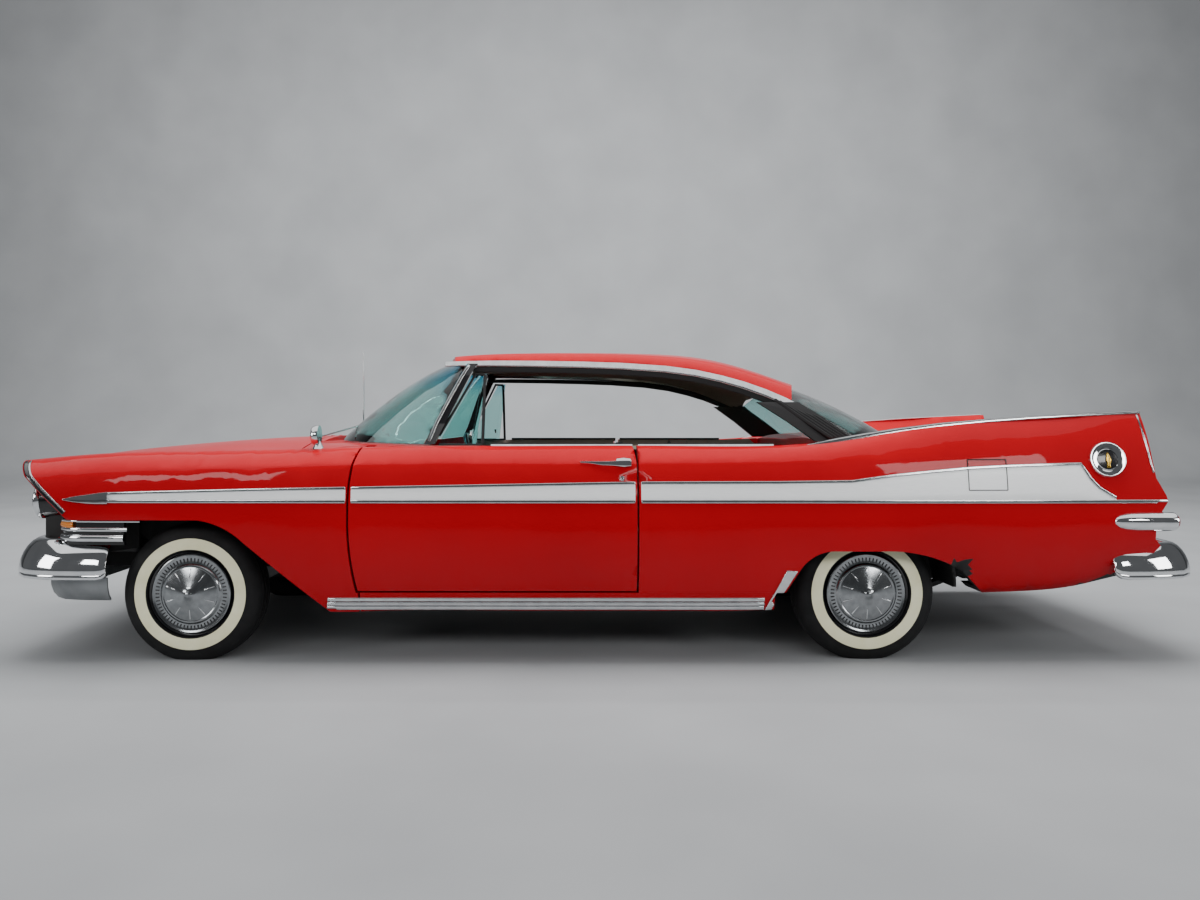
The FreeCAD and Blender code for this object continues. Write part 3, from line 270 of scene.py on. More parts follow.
def finish(name, pattern, shades, relief=None, **shader):
    """A material coloured by a pattern.

    A pattern is a texture's kind, inputs and settings, or a function of the tree and the place. Shades
    are positions and hex. A relief is a depth in mm, a strength and, where it differs, its own pattern.
    """
    made = bpy.data.materials.new(name)
    made.use_nodes = True
    tree = made.node_tree
    surface = tree.nodes["Principled BSDF"]
    for socket, value in shader.items():
        surface.inputs[socket.replace("_", " ")].default_value = value
    place = add(tree, "TexCoord").outputs["Object"]

    def drawn(kind, inputs, settings=None):
        texture = add(tree, kind, {"Vector": place, **inputs}, **(settings or {}))
        return texture.outputs["Distance" if kind == "TexVoronoi" else "Fac"]

    value = pattern(tree, place) if callable(pattern) else drawn(*pattern)
    ramp = add(tree, "ValToRGB", {"Fac": value}, shades)
    tree.links.new(ramp.outputs["Color"], surface.inputs["Base Color"])
    if relief:
        depth, strength, *own = relief
        height = drawn(*own[0]) if own else value
        dents = add(tree, "Bump", {"Height": height, "Strength": strength, "Distance": depth * 0.001})
        tree.links.new(dents.outputs["Normal"], surface.inputs["Normal"])
    return made


def per_mm(size):
    """Texture scale that gives one feature in so many millimetres."""
    return 1000.0 / size


def per_band(size):
    """Wave scale that gives one band in so many millimetres: a wave turns 20 radians to the unit."""
    return per_mm(size) * math.tau / 20


print("finishes can be mixed")

# %% [markdown]
# ## Enamel
# The body wears baked acrylic enamel, wet-sanded and polished: a deep red coat under a clear shine, with
# orange peel of about 3 mm that only shows in reflections. A coat layer over a rough base gives both,
# and a single glossy layer would lose the depth of the red.

# %% Enamel
orange_peel = ("TexNoise", {"Scale": per_mm(3), "Detail": 1.0})
red_enamel = finish("baked_red_enamel", ("TexNoise", {"Scale": per_mm(700), "Detail": 3.0}),
                    [(0.3, "#9C0010"), (0.7, "#A60012")], (0.02, 0.15, orange_peel), Roughness=0.45,
                    Coat_Weight=0.42, Coat_Roughness=0.03, Coat_IOR=1.45, Specular_IOR_Level=0.05)
print("body colour:", red_enamel.name)

# %% [markdown]
# ## Bright metals
# Chromium plate is a nearly perfect mirror, so its look comes from what it reflects, and slight waviness
# from hand polishing makes it believable. Rolled stainless is a little softer, and spun wheel covers are
# duller still, with a haze left by the lathe. The fin inlay is anodised aluminium: milky, and grained
# along the car at about 1.5 mm. The pan under the bumper is silver paint and the badge is gilt.

# %% Bright metals
polishing_wave = ("TexNoise", {"Scale": per_mm(90), "Detail": 1.0})
chrome = finish("chromium_plate", ("TexNoise", {"Scale": per_mm(60), "Detail": 4.0}),
                [(0.3, "#E4E6E8"), (0.7, "#F1F2F3")], (0.15, 0.25, polishing_wave),
                Metallic=1.0, Roughness=0.05)
stainless = finish("polished_stainless_trim", ("TexNoise", {"Scale": per_mm(40), "Detail": 3.0}),
                   [(0.3, "#D2D5D7"), (0.7, "#E6E8E9")], Metallic=1.0, Roughness=0.14)


def grain_along_car(tree, place):
    along = add(tree, "Mapping", {"Vector": place, "Scale": (0.03, 1.0, 1.0)})
    grain = add(tree, "TexNoise", {"Vector": along.outputs["Vector"], "Scale": per_mm(1.5), "Detail": 2.0})
    return grain.outputs["Fac"]


anodised = finish("silver_anodised_aluminium", grain_along_car, [(0.25, "#E6E8E9"), (0.75, "#F2F3F3")],
                  (0.02, 0.3), Metallic=0.15, Roughness=0.4)
spun_steel = finish("spun_stainless_cover", ("TexNoise", {"Scale": per_mm(25), "Detail": 3.0}),
                    [(0.3, "#8E9193"), (0.7, "#A4A7A9")], Metallic=1.0, Roughness=0.17)
silver_paint = finish("silver_pan_enamel", ("TexNoise", {"Scale": per_mm(80), "Detail": 4.0}),
                      [(0.3, "#7C7F81"), (0.7, "#8E9193")], Metallic=0.6, Roughness=0.42)
gilt = finish("gold_anodised_badge", ("TexNoise", {"Scale": per_mm(12), "Detail": 2.0}),
              [(0.3, "#B58A2C"), (0.7, "#D9B45A")], Metallic=1.0, Roughness=0.22)
print("bright metals:", len(bpy.data.materials) - 1)

# %% [markdown]
# ## Rubber
# Tyre rubber is carbon black with a faint bloom. The whitewall is a cream ring of the same moulding.
# Seals are sponge rubber with 2 mm pores. Rubber is rough but never quite black, or it would look like
# a hole in the picture.

# %% Rubber
rubber = finish("carbon_black_rubber", ("TexNoise", {"Scale": per_mm(45), "Detail": 5.0}),
                [(0.3, "#0E0E0F"), (0.75, "#1B1B1C")], (0.2, 0.2), Roughness=0.72, Specular_IOR_Level=0.35)
whitewall = finish("cream_whitewall_rubber", ("TexNoise", {"Scale": per_mm(70), "Detail": 4.0}),
                   [(0.3, "#DCD9B4"), (0.75, "#E8E6C8")], Roughness=0.62, Specular_IOR_Level=0.35)
weatherstrip = finish("black_sponge_rubber", ("TexNoise", {"Scale": per_mm(2), "Detail": 2.0}),
                      [(0.3, "#0B0B0C"), (0.8, "#1A1A1B")], (0.1, 0.3), Roughness=0.55)
print("rubbers:", rubber.name, whitewall.name, weatherstrip.name)

# %% [markdown]
# ## Glass and lenses
# The glass is laminated and tinted green-blue, with a darker shade band between 1.22 and 1.34 m along
# the top of the screen. Head lamp glass has upright flutes and the coloured lenses have level ones, all
# moulded in, so a wave gives both their shade and their relief.

# %% Glass and lenses
def shade_band(tree, place):
    height = add(tree, "SeparateXYZ", {"Vector": place}).outputs["Z"]
    return add(tree, "MapRange", {"Value": height, "From Min": 1.22, "From Max": 1.34}).outputs["Result"]


tinted_glass = finish("tinted_laminated_glass", shade_band, [(0.0, "#B2E4E0"), (1.0, "#58B4D0")],
                      Roughness=0.0, IOR=1.5, Transmission_Weight=1.0)
lamp_glass = finish("fluted_lamp_glass", ("TexWave", {"Scale": per_band(11.22)}, {"bands_direction": "Y"}),
                    [(0.0, "#F2F6F6"), (1.0, "#FFFFFF")], (0.8, 0.5), Roughness=0.04, IOR=1.5,
                    Transmission_Weight=1.0)
amber = finish("amber_lamp_plastic", ("TexWave", {"Scale": per_band(6.981)}, {"bands_direction": "Z"}),
               [(0.0, "#E8791C"), (1.0, "#FFAF52")], Roughness=0.12, IOR=1.49, Transmission_Weight=0.35)
ruby = finish("ruby_lamp_plastic", ("TexWave", {"Scale": per_band(5.236)}, {"bands_direction": "Z"}),
              [(0.0, "#7A0508"), (1.0, "#B30F12")], Roughness=0.1, IOR=1.49, Transmission_Weight=0.25)
print("glass and lenses:", tinted_glass.name, lamp_glass.name, amber.name, ruby.name)

# %% [markdown]
# ## Chassis and engine paints
# Chassis parts wear a thin satin black, dusted where air passes. Instrument and wheel parts are baked
# gloss black, the engine is painted cast iron with its sandy skin, and the exhaust is aluminised steel
# gone brown with heat. Each gets its own patch size, so that neighbours don't read as one material.

# %% Chassis and engine paints
chassis_black = finish("satin_chassis_black", ("TexNoise", {"Scale": per_mm(120), "Detail": 6.0}),
                       [(0.35, "#0C0C0D"), (0.8, "#1D1C1B")], (0.5, 0.25), Roughness=0.55)
gloss_black = finish("black_baking_enamel", ("TexNoise", {"Scale": per_mm(90), "Detail": 3.0}),
                     [(0.3, "#08080A"), (0.8, "#131316")], Roughness=0.2, Coat_Weight=0.6,
                     Coat_Roughness=0.05)
iron = finish("painted_cast_iron", ("TexNoise", {"Scale": per_mm(6), "Detail": 5.0}),
              [(0.3, "#3B3D3E"), (0.75, "#565859")], (0.6, 0.5), Metallic=0.3, Roughness=0.6)
pipe_steel = finish("aluminised_exhaust_steel", ("TexNoise", {"Scale": per_mm(50), "Detail": 6.0}),
                    [(0.3, "#4E4A45"), (0.6, "#77736C"), (0.85, "#8D8A84")], Metallic=0.9, Roughness=0.5)
print("dark paints:", chassis_black.name, gloss_black.name, iron.name, pipe_steel.name)

# %% [markdown]
# ## Upholstery
# The benches are covered in a metallic-thread body cloth with vinyl bolsters. The weave's real pitch of
# about 1 mm is too fine to show, so its threads are drawn 8 mm apart, crossed by multiplying two waves.
# The vinyl has a 3 mm leather grain, the carpet 5 mm tufts, and the roof lining holes 12 mm apart.

# %% Upholstery
def weave(tree, place):
    warp, weft = [add(tree, "TexWave", {"Vector": place, "Scale": per_band(7.8917)}, bands_direction=way)
                  for way in "YX"]
    both = {0: warp.outputs["Fac"], 1: weft.outputs["Fac"]}
    return add(tree, "Math", both, operation="MULTIPLY").outputs["Value"]


vinyl = finish("grained_ivory_vinyl", ("TexVoronoi", {"Scale": per_mm(3)}),
               [(0.0, "#CFC7B4"), (0.8, "#DDD6C6")], (0.3, 0.3), Roughness=0.42)
cloth = finish("woven_body_cloth", weave, [(0.1, "#6E6A60"), (0.5, "#9C968A"), (0.9, "#C9C4B8")],
               (0.4, 0.4), Roughness=0.85, Sheen_Weight=0.4)
carpet = finish("cut_pile_carpet", ("TexNoise", {"Scale": per_mm(5), "Detail": 4.0}),
                [(0.3, "#2A0A0A"), (0.75, "#4A1414")], (3.0, 0.6), Roughness=1.0, Sheen_Weight=0.3)
headlining = finish("perforated_headlining", ("TexVoronoi", {"Scale": per_mm(12), "Randomness": 0.0}),
                    [(0.1, "#1C1815"), (0.2, "#5A5048")], Roughness=0.8)
print("finishes:", len(bpy.data.materials))

# %% [markdown]
# ## Sheet metal
# The pressed panels keep the exact shape of their solids, because their gaps and hinges depend on it. A
# solid's mesh is loose triangles, so each panel is a copy whose corners are merged and whose faces are
# smoothed up to the pressed edges. Away from those edges the shading is evened out several times over,
# which gives the long unbroken reflections of polished enamel.

# %% Panels from their solids
def panel(node, paint, angle=24, flat=0.985):
    """A merged and smoothed copy that stands for a solid. Flat is how level the evened shading must be."""
    skin = copy_of(nodes[node], "skin_" + node)
    edit(skin)
    bpy.ops.mesh.remove_doubles(threshold=0.00002)
    done(skin, "skin_" + node, body_of[node], paint, angle)
    modify(skin, "WEIGHTED_NORMAL", mode="FACE_AREA", weight=100, keep_sharp=True)
    edit(skin)
    if choose(skin, "verts", lambda v: v.link_faces
              and min(v.normal.dot(f.normal) for f in v.link_faces) > flat):
        for again in range(12):
            bpy.ops.mesh.smooth_normals(factor=0.5)
    only(skin)
    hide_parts(node)
    return skin


PAINTED = ["front_fender_left", "front_fender_right", "door_left", "door_right", "quarter_panel_left",
           "quarter_panel_right", "rockers", "hood", "cowl", "rear_deck", "trunk_lid", "tail_panel", "roof"]
skins = {node: panel(node, red_enamel) for node in PAINTED}
skins["fender_mirror"] = panel("fender_mirror", chrome)
for node in ("windshield", "backlight", "vent_window_left", "vent_window_right"):
    skins[node] = panel(node, tinted_glass, 40, 0.9)
skins["engine_block"] = panel("engine_block", iron, 30)
print("panels:", len(skins), "triangles:", sum(len(s.data.polygons) for s in skins.values()))

# %% [markdown]
# ## Engine bay
# Rocker covers, air cleaner and fan are gloss black on the iron block, and the bay walls are satin
# black. They are told apart by height and by how far out they lie, as a brush would find them.

# %% Engine bay
covers = painted_faces(skins["engine_block"], gloss_black,
                       lambda c, n: c.z > 0.76 or abs(c.y) > 0.19 and c.z > 0.637)
bay = [painted_faces(skins["front_fender_" + side], chassis_black,
                     lambda c, n: abs(c.y) < 0.735 and c.z < 0.888) for side in ("left", "right")]
print("engine cover faces:", covers, "bay wall faces:", bay)

# %% [markdown]
# ## Solids that show as they are
# Frame, axles, tank and grille already have their real form, so they only need their finish. Making
# them again in the scene would risk leaving their true place.

# %% Finishes for the solids that show as they are
FINISHES = [(gloss_black, "windshield_frame dashboard steering_wheel"), (stainless, "grille"),
            (chrome, "antenna tail_lamps"), (pipe_steel, "exhaust"), (lamp_glass, "lamp_lenses"),
            (cloth, "front_seat rear_seat"),
            (chassis_black, "floor_pan frame_rails front_suspension rear_axle knuckle_left knuckle_right"
                            " fuel_tank radiator")]
for paint, names in FINISHES:
    for node in names.split():
        nodes[node].data.materials.clear()
        nodes[node].data.materials.append(paint)
print("kinds of plain finish:", len(FINISHES))

# %% [markdown]
# ## The lathe
# Tyres, covers, lamps and knobs are turned parts. Each is modelled as on a lathe: one circle, then
# extruded and resized ring by ring. A spun profile would give the same form, but here every row of the
# table is a ring that can be measured on the real part.

# %% Turning
def turned(centre, rows, axis=(0, 1, 0), corners=96, closed=False):
    """Ring by ring from a circle. Rows are distance along the axis and radius, in millimetres."""
    way = Vector(axis)
    turn = (math.radians(90), 0, 0) if way.y else (0, math.radians(90), 0) if way.x else (0, 0, 0)
    middle = mm(*centre)
    place, radius = rows[0]
    piece = start("circle", vertices=corners, radius=radius * 0.001, location=middle + way * place * 0.001,
                  rotation=turn)
    for next_place, next_radius in rows[1:]:
        step = way * (next_place - place) * 0.001
        bpy.ops.mesh.extrude_region_move(TRANSFORM_OT_translate={"value": step})
        if next_radius == 0:
            bpy.ops.mesh.merge(type="CENTER")
        elif next_radius != radius:
            stretch(*(next_radius / radius,) * 3, about=middle + way * next_place * 0.001)
        place, radius = next_place, next_radius
    everything()
    if closed:
        bpy.ops.mesh.remove_doubles(threshold=0.00001)
    bpy.ops.mesh.normals_make_consistent(inside=False)
    return piece


def wheel_middle(end, side):
    """Middle of a wheel at rest, millimetres, and the outward direction."""
    low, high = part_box("tyre_%s_%s" % (end, side))
    return [500 * (a + b) for a, b in zip(low, high)], (-1 if side == "left" else 1)


def wheel_part(name, end, side, rows, paint, angle, corners=96, closed=False):
    """A turned part of one wheel. Rows are distance outwards from the wheel's middle and radius."""
    centre, outward = wheel_middle(end, side)
    piece = turned(centre, [(outward * d, r) for d, r in rows], corners=corners, closed=closed)
    return done(piece, "%s_%s_%s" % (name, end, side), body_of["tyre_%s_%s" % (end, side)], paint,
                angle)


WHEELS = [(end, side) for end in ("front", "rear") for side in ("left", "right")]
print("front left wheel at", [round(v, 1) for v in wheel_middle("front", "left")[0]])

# %% [markdown]
# ## Tyres
# A 14 inch bias-ply tyre is round in section, with a broad cream ring and a black tread band with four
# grooves round it. The whitewall is moulded 1 mm proud, so it is a ring of its own, and painting it on
# would lose its edge.

# %% Tyres
TREAD = [(-66, 184), (-72, 196), (-86, 206), (-95, 226), (-97, 246), (-93, 268), (-82, 290), (-66, 303),
         (-52, 308.5), (-50, 304), (-44, 304), (-42, 309.5), (-22, 310.6), (-20, 305), (-14, 305),
         (-12, 310.8), (12, 310.8), (14, 305), (20, 305), (22, 310.6), (42, 309.5), (44, 304), (50, 304),
         (52, 308.5), (66, 303), (82, 290), (93, 268), (96.5, 250), (97.2, 249), (97.2, 192.8),
         (84, 191.5), (72, 193), (66, 184), (-66, 184)]
WHITE = [(88, 196.5), (97.4, 197), (98.0, 200), (98.2, 222), (98.0, 243), (97.2, 246.5), (88, 248)]
for end, side in WHEELS:
    tyre = wheel_part("tyre_tread", end, side, TREAD, rubber, 30, 128, True)
    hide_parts("tyre_%s_%s" % (end, side))
    wheel_part("whitewall", end, side, WHITE, whitewall, 50, 128)
print("tyres:", len(WHEELS))

# %% [markdown]
# ## Wheel covers
# The cover is one stainless pressing: a rolled lip, a flat ring with a row of slots, a raised bead, a
# shallow cone and a pointed centre. Behind it sits the black rim. The sixty slots and ten ribs have the
# same shape, so each is modelled once and spun round the middle.

# %% Wheel covers
COVER = [(70, 168), (74, 172), (80, 175.5), (86, 175), (88, 171), (86, 165), (84.5, 161), (84, 140),
         (85, 135), (89, 131), (92, 127), (92.5, 122), (90.5, 118), (93, 110), (104, 70), (112, 34),
         (116, 22), (122, 14), (126, 7), (127.5, 0)]
RIM = [(-77, 192), (-70, 192), (-66, 180), (66, 180), (70, 192), (77, 191.8), (78, 188), (74, 181),
       (72, 172), (30, 168), (0, 120), (-10, 60), (-12, 0)]


def spun(piece, name, end, side, count, paint):
    """Moves a part from the origin to a wheel and repeats it round the wheel's middle."""
    centre = wheel_middle(end, side)[0]
    move(*centre)
    bpy.ops.mesh.spin(steps=count, dupli=True, angle=math.tau, center=mm(*centre), axis=(0, 1, 0))
    everything()
    bpy.ops.mesh.remove_doubles(threshold=0.00001)
    done(piece, "%s_%s_%s" % (name, end, side), body_of["tyre_%s_%s" % (end, side)], paint)


def cover_slot(outward):
    return block((5.5, 2.0, 17), (0, outward * 84.6, 150))


def cover_rib(outward):
    """A ridge that leans with the cone, narrower towards the middle."""
    piece = block((5, 6, 44))
    choose(piece, "faces", lambda f: f.normal.z > 0.9)
    move(0, -outward * 2.5, 0)
    choose(piece, "faces", lambda f: f.normal.z < -0.9)
    move(0, outward * 7, 0)
    stretch(0.5, 1, 1)
    everything()
    move(0, outward * 95, 90)
    return piece


for end, side in WHEELS:
    outward = wheel_middle(end, side)[1]
    wheel_part("wheel_cover", end, side, COVER, spun_steel, 30, 120)
    back = wheel_part("rim", end, side, RIM, gloss_black, 30)
    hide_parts("wheel_%s_%s" % (end, side))
    for part, name, width, count, paint in ((cover_slot, "cover_slots", 1.8, 60, gloss_black),
                                            (cover_rib, "cover_ribs", 1.2, 10, chrome)):
        piece = part(outward)
        soften(width, 2)
        spun(piece, name, end, side, count, paint)
print("covers:", len(WHEELS))

# %% [markdown]
# ## Sweeping a section
# Bumper blades and mouldings have one section all along. It is drawn once from a small ring, then
# extruded from station to station, turned with the path and resized where the real bar tapers. A chain
# of scaled blocks would show every joint in its reflections.

# %% Sweeping a section
def pull(piece, test, way):
    """Moves the corners that pass a test."""
    if choose(piece, "verts", test):
        bpy.ops.transform.translate(value=way)


def swept(section, stations):
    """Carries a section along a path. Section: out and up. Stations: x, y, z, heading of out, size."""
    piece = start("circle", vertices=len(section), radius=1.0, fill_type="NGON", location=(0, 0, -5))
    ring = [v.co.copy() for v in piece.data.vertices]
    x, y, z, heading, size = stations[0]
    across = Vector((math.cos(math.radians(heading)), math.sin(math.radians(heading)), 0))
    for spot, (out, up) in zip(ring, section):
        place = mm(x, y, z) + across * out * size * 0.001 + mm(0, 0, up * size)
        pull(piece, lambda v: (v.co - spot).length < 0.0001, place - spot)
    everything()
    for before, (x, y, z, heading, size) in zip(stations, stations[1:]):
        step = mm(x - before[0], y - before[1], z - before[2])
        bpy.ops.mesh.extrude_region_move(TRANSFORM_OT_translate={"value": step})
        bpy.ops.transform.rotate(value=math.radians(before[3] - heading), orient_axis="Z",
                                 center_override=mm(x, y, z))
        if size != before[4]:
            stretch(*(size / before[4],) * 3, about=mm(x, y, z))
    everything()
    bpy.ops.mesh.normals_make_consistent(inside=False)
    return piece


def level(z, rows, size=1):
    """Stations at one height. Rows are x, y, heading of out and, where it differs, the size there."""
    return [(x, y, z, heading, *(own or [size])) for x, y, heading, *own in rows]


def both_ways(half, flip=360):
    """A path from the near end to the middle, carried on to the far end."""
    return half + [(x, -y, z, flip - heading, size) for x, y, z, heading, size in reversed(half[:-1])]


print("sections can be swept")

# %% [markdown]
# ## Mouldings that follow the body
# The bright strips are rolled stainless, clipped to the finished panels, so they follow every curve. Each
# is cut out flat beside the car, one edge pulled after another, then pressed onto its panel by a
# Shrinkwrap along Y, thickened by a Solidify and softened by a Bevel. Modelling them in place by hand
# would never sit as closely.

# %% Flat strips
STAND_OFF = -1300.0


def ribbon(lower, upper, cuts=3, depths=None):
    """A flat strip beside the car, between two rows of x and z, in millimetres, facing outwards."""
    depths = [(y, y) if isinstance(y, (int, float)) else y for y in depths or [STAND_OFF] * len(lower)]
    piece = start("plane", size=0.1, location=mm(0, STAND_OFF, -900), rotation=(math.radians(90), 0, 0))
    for across, up, (x, z), y in [(-1, -1, lower[0], depths[0][0]), (1, -1, lower[1], depths[1][0]),
                                  (-1, 1, upper[0], depths[0][1]), (1, 1, upper[1], depths[1][1])]:
        here = mm(50 * across, STAND_OFF, 50 * up - 900)
        pull(piece, lambda v: (v.co - here).length < 0.0001, mm(x, y, z) - here)
    for i in range(2, len(lower)):
        low, high = [mm(row[i - 1][0], y, row[i - 1][1]) for row, y in zip((lower, upper), depths[i - 1])]
        choose(piece, "verts", lambda v: min((v.co - low).length, (v.co - high).length) < 0.00002)
        aside = mm(0, 0, -900)
        bpy.ops.mesh.extrude_region_move(TRANSFORM_OT_translate={"value": aside})
        for old, (x, z), y in ((low, lower[i], depths[i][0]), (high, upper[i], depths[i][1])):
            pull(piece, lambda v: (v.co - old - aside).length < 0.00002, mm(x, y, z) - old - aside)
    everything()
    bpy.ops.mesh.subdivide(number_cuts=cuts)
    bpy.ops.mesh.normals_make_consistent(inside=False)
    if sum(face.normal.y for face in bmesh.from_edit_mesh(piece.data).faces) > 0:
        bpy.ops.mesh.flip_normals()
    bpy.ops.object.mode_set(mode="OBJECT")
    return piece


def edges_of(points, width):
    """Both edges of a strip along a line of x and z. Its width is one number, or one for each point."""
    lower, upper = [], []
    for i, (x, z) in enumerate(points):
        a, b = points[max(i - 1, 0)], points[min(i + 1, len(points) - 1)]
        way = Vector((b[0] - a[0], b[1] - a[1])).normalized()
        half = (width[i] if isinstance(width, list) else width) / 2
        lower.append((x + way.y * half, z - way.x * half))
        upper.append((x - way.y * half, z + way.x * half))
    return lower, upper


print("strips lie", -STAND_OFF, "mm beside the middle until they are pressed")

# %% [markdown]
# ## Pressing and thickening
# A Shrinkwrap drops the flat strip onto the panel, and corners that found no panel are deleted. The
# strip sinks in by less than a millimetre, so no light shows under it, and then gets its thickness.

# %% Pressing and thickening
def lay_on(piece, target):
    modify(piece, "SHRINKWRAP", target=target, wrap_method="PROJECT", use_project_y=True,
           use_positive_direction=True, use_negative_direction=False)


def thicken(piece, height, edge, segments=2, limit=50):
    """Thickens a strip outwards and rounds its edges, in millimetres."""
    modify(piece, "SOLIDIFY", thickness=height * 0.001, offset=1.0, use_even_offset=False)
    modify(piece, "BEVEL", width=edge * 0.001, segments=segments, limit_method="ANGLE",
           angle_limit=math.radians(limit))


def press(piece, target, height, edge=None, sink=0.8):
    """Presses a flat strip onto a panel and gives it its thickness."""
    lay_on(piece, target)
    edit(piece)
    choose(piece, "verts", lambda v: v.co.y < STAND_OFF * 0.001 + 0.01)
    bpy.ops.mesh.delete(type="VERT")
    everything()
    move(0, sink, 0)
    thicken(piece, height + sink, edge or height * 0.45)


def moulding(name, lower, upper, node, height, slot, paint, edge=None, cuts=3):
    """The same strip on both sides of the car."""
    piece = ribbon(lower, upper, cuts)
    press(piece, skins[node], height, edge)
    return pair(piece, name, body_of[node], paint, 50)


def height_at(table, x):
    """Height of a broken line of x and z."""
    for (xa, za), (xb, zb) in zip(table, table[1:]):
        if xa <= x <= xb:
            return za + (zb - za) * (x - xa) / (xb - xa)
    return table[0][1] if x < table[0][0] else table[-1][1]


def between(table, x0, x1, step=140):
    """Points of a broken line from x0 to x1, with its own corners kept."""
    parts = max(1, round((x1 - x0) / step))
    xs = sorted({x0, x1} | {x for x, z in table if x0 + 20 < x < x1 - 20}
                | {x0 + (x1 - x0) * i / parts for i in range(parts + 1)})
    kept = [xs[0]]
    for x in xs[1:-1]:
        if x - kept[-1] > 25 and xs[-1] - x > 25:
            kept.append(x)
    return [(x, height_at(table, x)) for x in kept + [xs[-1]]]


print("mouldings can be pressed")

# %% [markdown]
# ## The side spear
# A bright spear starts as a chromium bullet behind the head lamps, runs level over fender and door, and
# opens to a broad silver panel on the fin. Two thin rails edge the anodised inlay; the lower one runs on
# to the tail. It breaks at every panel gap, because doors open, so it is made run by run from two lines
# that cross all three panels.

# %% Spear
TOP_RAIL = [(-2348, 737), (-2134, 763), (-1532, 778), (-1108, 786), (129, 808), (755, 810), (1072, 814),
            (1283, 843), (1588, 871), (1768, 880), (2085, 889)]
LOW_RAIL = [(-2348, 735), (-2260, 731), (-2146, 729), (-1108, 729), (755, 729), (2471, 725)]
RUNS = [("fender", "front_fender_left", -2150, -1118), ("door", "door_left", -1094, 134),
        ("quarter", "quarter_panel_left", 160, 2085)]
for part, node, x0, x1 in RUNS:
    xs = sorted({x for table in (TOP_RAIL, LOW_RAIL) for x, z in between(table, x0, x1)})
    xs = [xs[0]] + [x for a, x in zip(xs, xs[1:]) if x - a > 30]
    lower, upper = [[(x, height_at(table, x)) for x in xs] for table in (LOW_RAIL, TOP_RAIL)]
    if part == "quarter":
        upper += [(2122, 827), (2160, 785), (2232, 741)]
        lower += [(2110, 727), (2165, 727), (2236, 727)]
    moulding("spear_inlay_" + part, lower, upper, node, 1.6, "red_enamel", anodised, 0.6)
    moulding("spear_top_rail_" + part, *edges_of(upper, 13), node, 6.0, "chrome_plate", stainless, cuts=2)
    low_rail = between(LOW_RAIL, x0, 2466 if part == "quarter" else x1)
    moulding("spear_low_rail_" + part, *edges_of(low_rail, 15), node, 7.0, "chrome_plate", stainless, cuts=2)
print("spear runs:", len(RUNS))

# %% [markdown]
# ## Spear tip
# The bullet at the front is die-cast and much thicker than the rails. It is the same kind of strip with
# a high crown, and one level of subdivision turns its bevelled edges into one round back.

# %% Spear tip
lower = [(-2346, 735), (-2325, 731), (-2290, 726), (-2240, 721), (-2190, 719), (-2146, 719)]
upper = [(-2342, 738), (-2320, 744), (-2285, 751), (-2240, 757), (-2190, 764), (-2146, 769)]
piece = ribbon(lower, upper, 3)
press(piece, skins["front_fender_left"], 14, 9)
modify(piece, "SUBSURF", levels=1, render_levels=1)
pair(piece, "spear_tip", "body", chrome, 60)
print("spear tip:", len(piece.data.polygons), "faces")

# %% [markdown]
# ## Sill and stone shield
# The sill wears a ribbed stainless moulding from the front fender back to a stone shield in front of the
# rear wheel. It crosses three panels without a break, so it is pressed onto one joined copy of them.

# %% Sill and stone shield
side_form, *others = [copy_of(skins[node], "side_part")
                      for node in ("front_fender_left", "rockers", "quarter_panel_left")]
only(side_form, *others)
bpy.ops.object.join()
skins["side_form"], body_of["side_form"] = side_form, "body"
sill = between([(-1215, 270), (-1190, 262), (733, 262)], -1212, 700, 130)
for row, (z0, z1, height) in enumerate([(254, 272, 8), (274, 290, 11), (292, 309, 8)]):
    lower, upper = [(x, z0) for x, z in sill], [(x, z1) for x, z in sill]
    lower[0], upper[0] = (sill[0][0] + row * 3, z0), (sill[0][0] + row * 3 + 4, z1)
    moulding("sill_rib_%d" % row, lower, upper, "side_form", height, "chrome_plate", stainless, 4, 2)
shield_front = [(704, 252), (720, 290), (748, 345), (772, 395), (790, 432)]
shield_arch = [(742, 252), (758, 290), (790, 345), (818, 395), (838, 428)]
moulding("stone_shield", shield_arch, shield_front, "side_form", 7, "chrome_plate", stainless, 2.5)
print("side form faces:", len(side_form.data.polygons))
bpy.data.objects.remove(skins.pop("side_form"))

# %% [markdown]
# ## Fin crest and edge
# A stainless cap runs along the crest of each fin, starting as a point behind the side window, and a thin
# bead stands along its rear edge. The fin's skin is trimmed level under the cap, or it would show
# through it. The cap is swept, because it has one folded section that only grows and shrinks.

# %% Fin crest and edge
def trimmed(skin, point, away):
    """Cuts a skin by a plane and closes it. Away points to the side that goes."""
    edit(skin)
    bpy.ops.mesh.bisect(plane_co=point, plane_no=away, clear_outer=True, use_fill=True)
    only(skin)


for side in ("left", "right"):
    trimmed(skins["quarter_panel_" + side], mm(1700, 0, 1082), (-0.0507, 0, 0.9987))
CREST = [(846, -869, 958, 0.3), (900, -869, 968, 0.7), (1000, -866, 984, 1.4), (1150, -863, 1010, 1.5),
         (1300, -857, 1034, 1.4), (1500, -853, 1060, 1.2), (1700, -849, 1079, 0.9), (1900, -844, 1093, 0.8),
         (2100, -838, 1104, 0.75), (2250, -831, 1111, 0.75), (2394, -828, 1118, 0.75)]
CAP = [(-16, 2), (-12, 7), (-4, 8), (3, 5), (6, -1), (6, -10), (2, -13), (-1, -9), (-3, -2), (-10, 1),
       (-15, -3)]
cap = swept(CAP, [(x, y, z, 270, size) for x, y, z, size in CREST])
pair(cap, "fin_cap", "body", stainless, 40)
edge = [(2378, 1104), (2386, 1040), (2396, 960), (2406, 890), (2414, 850)]
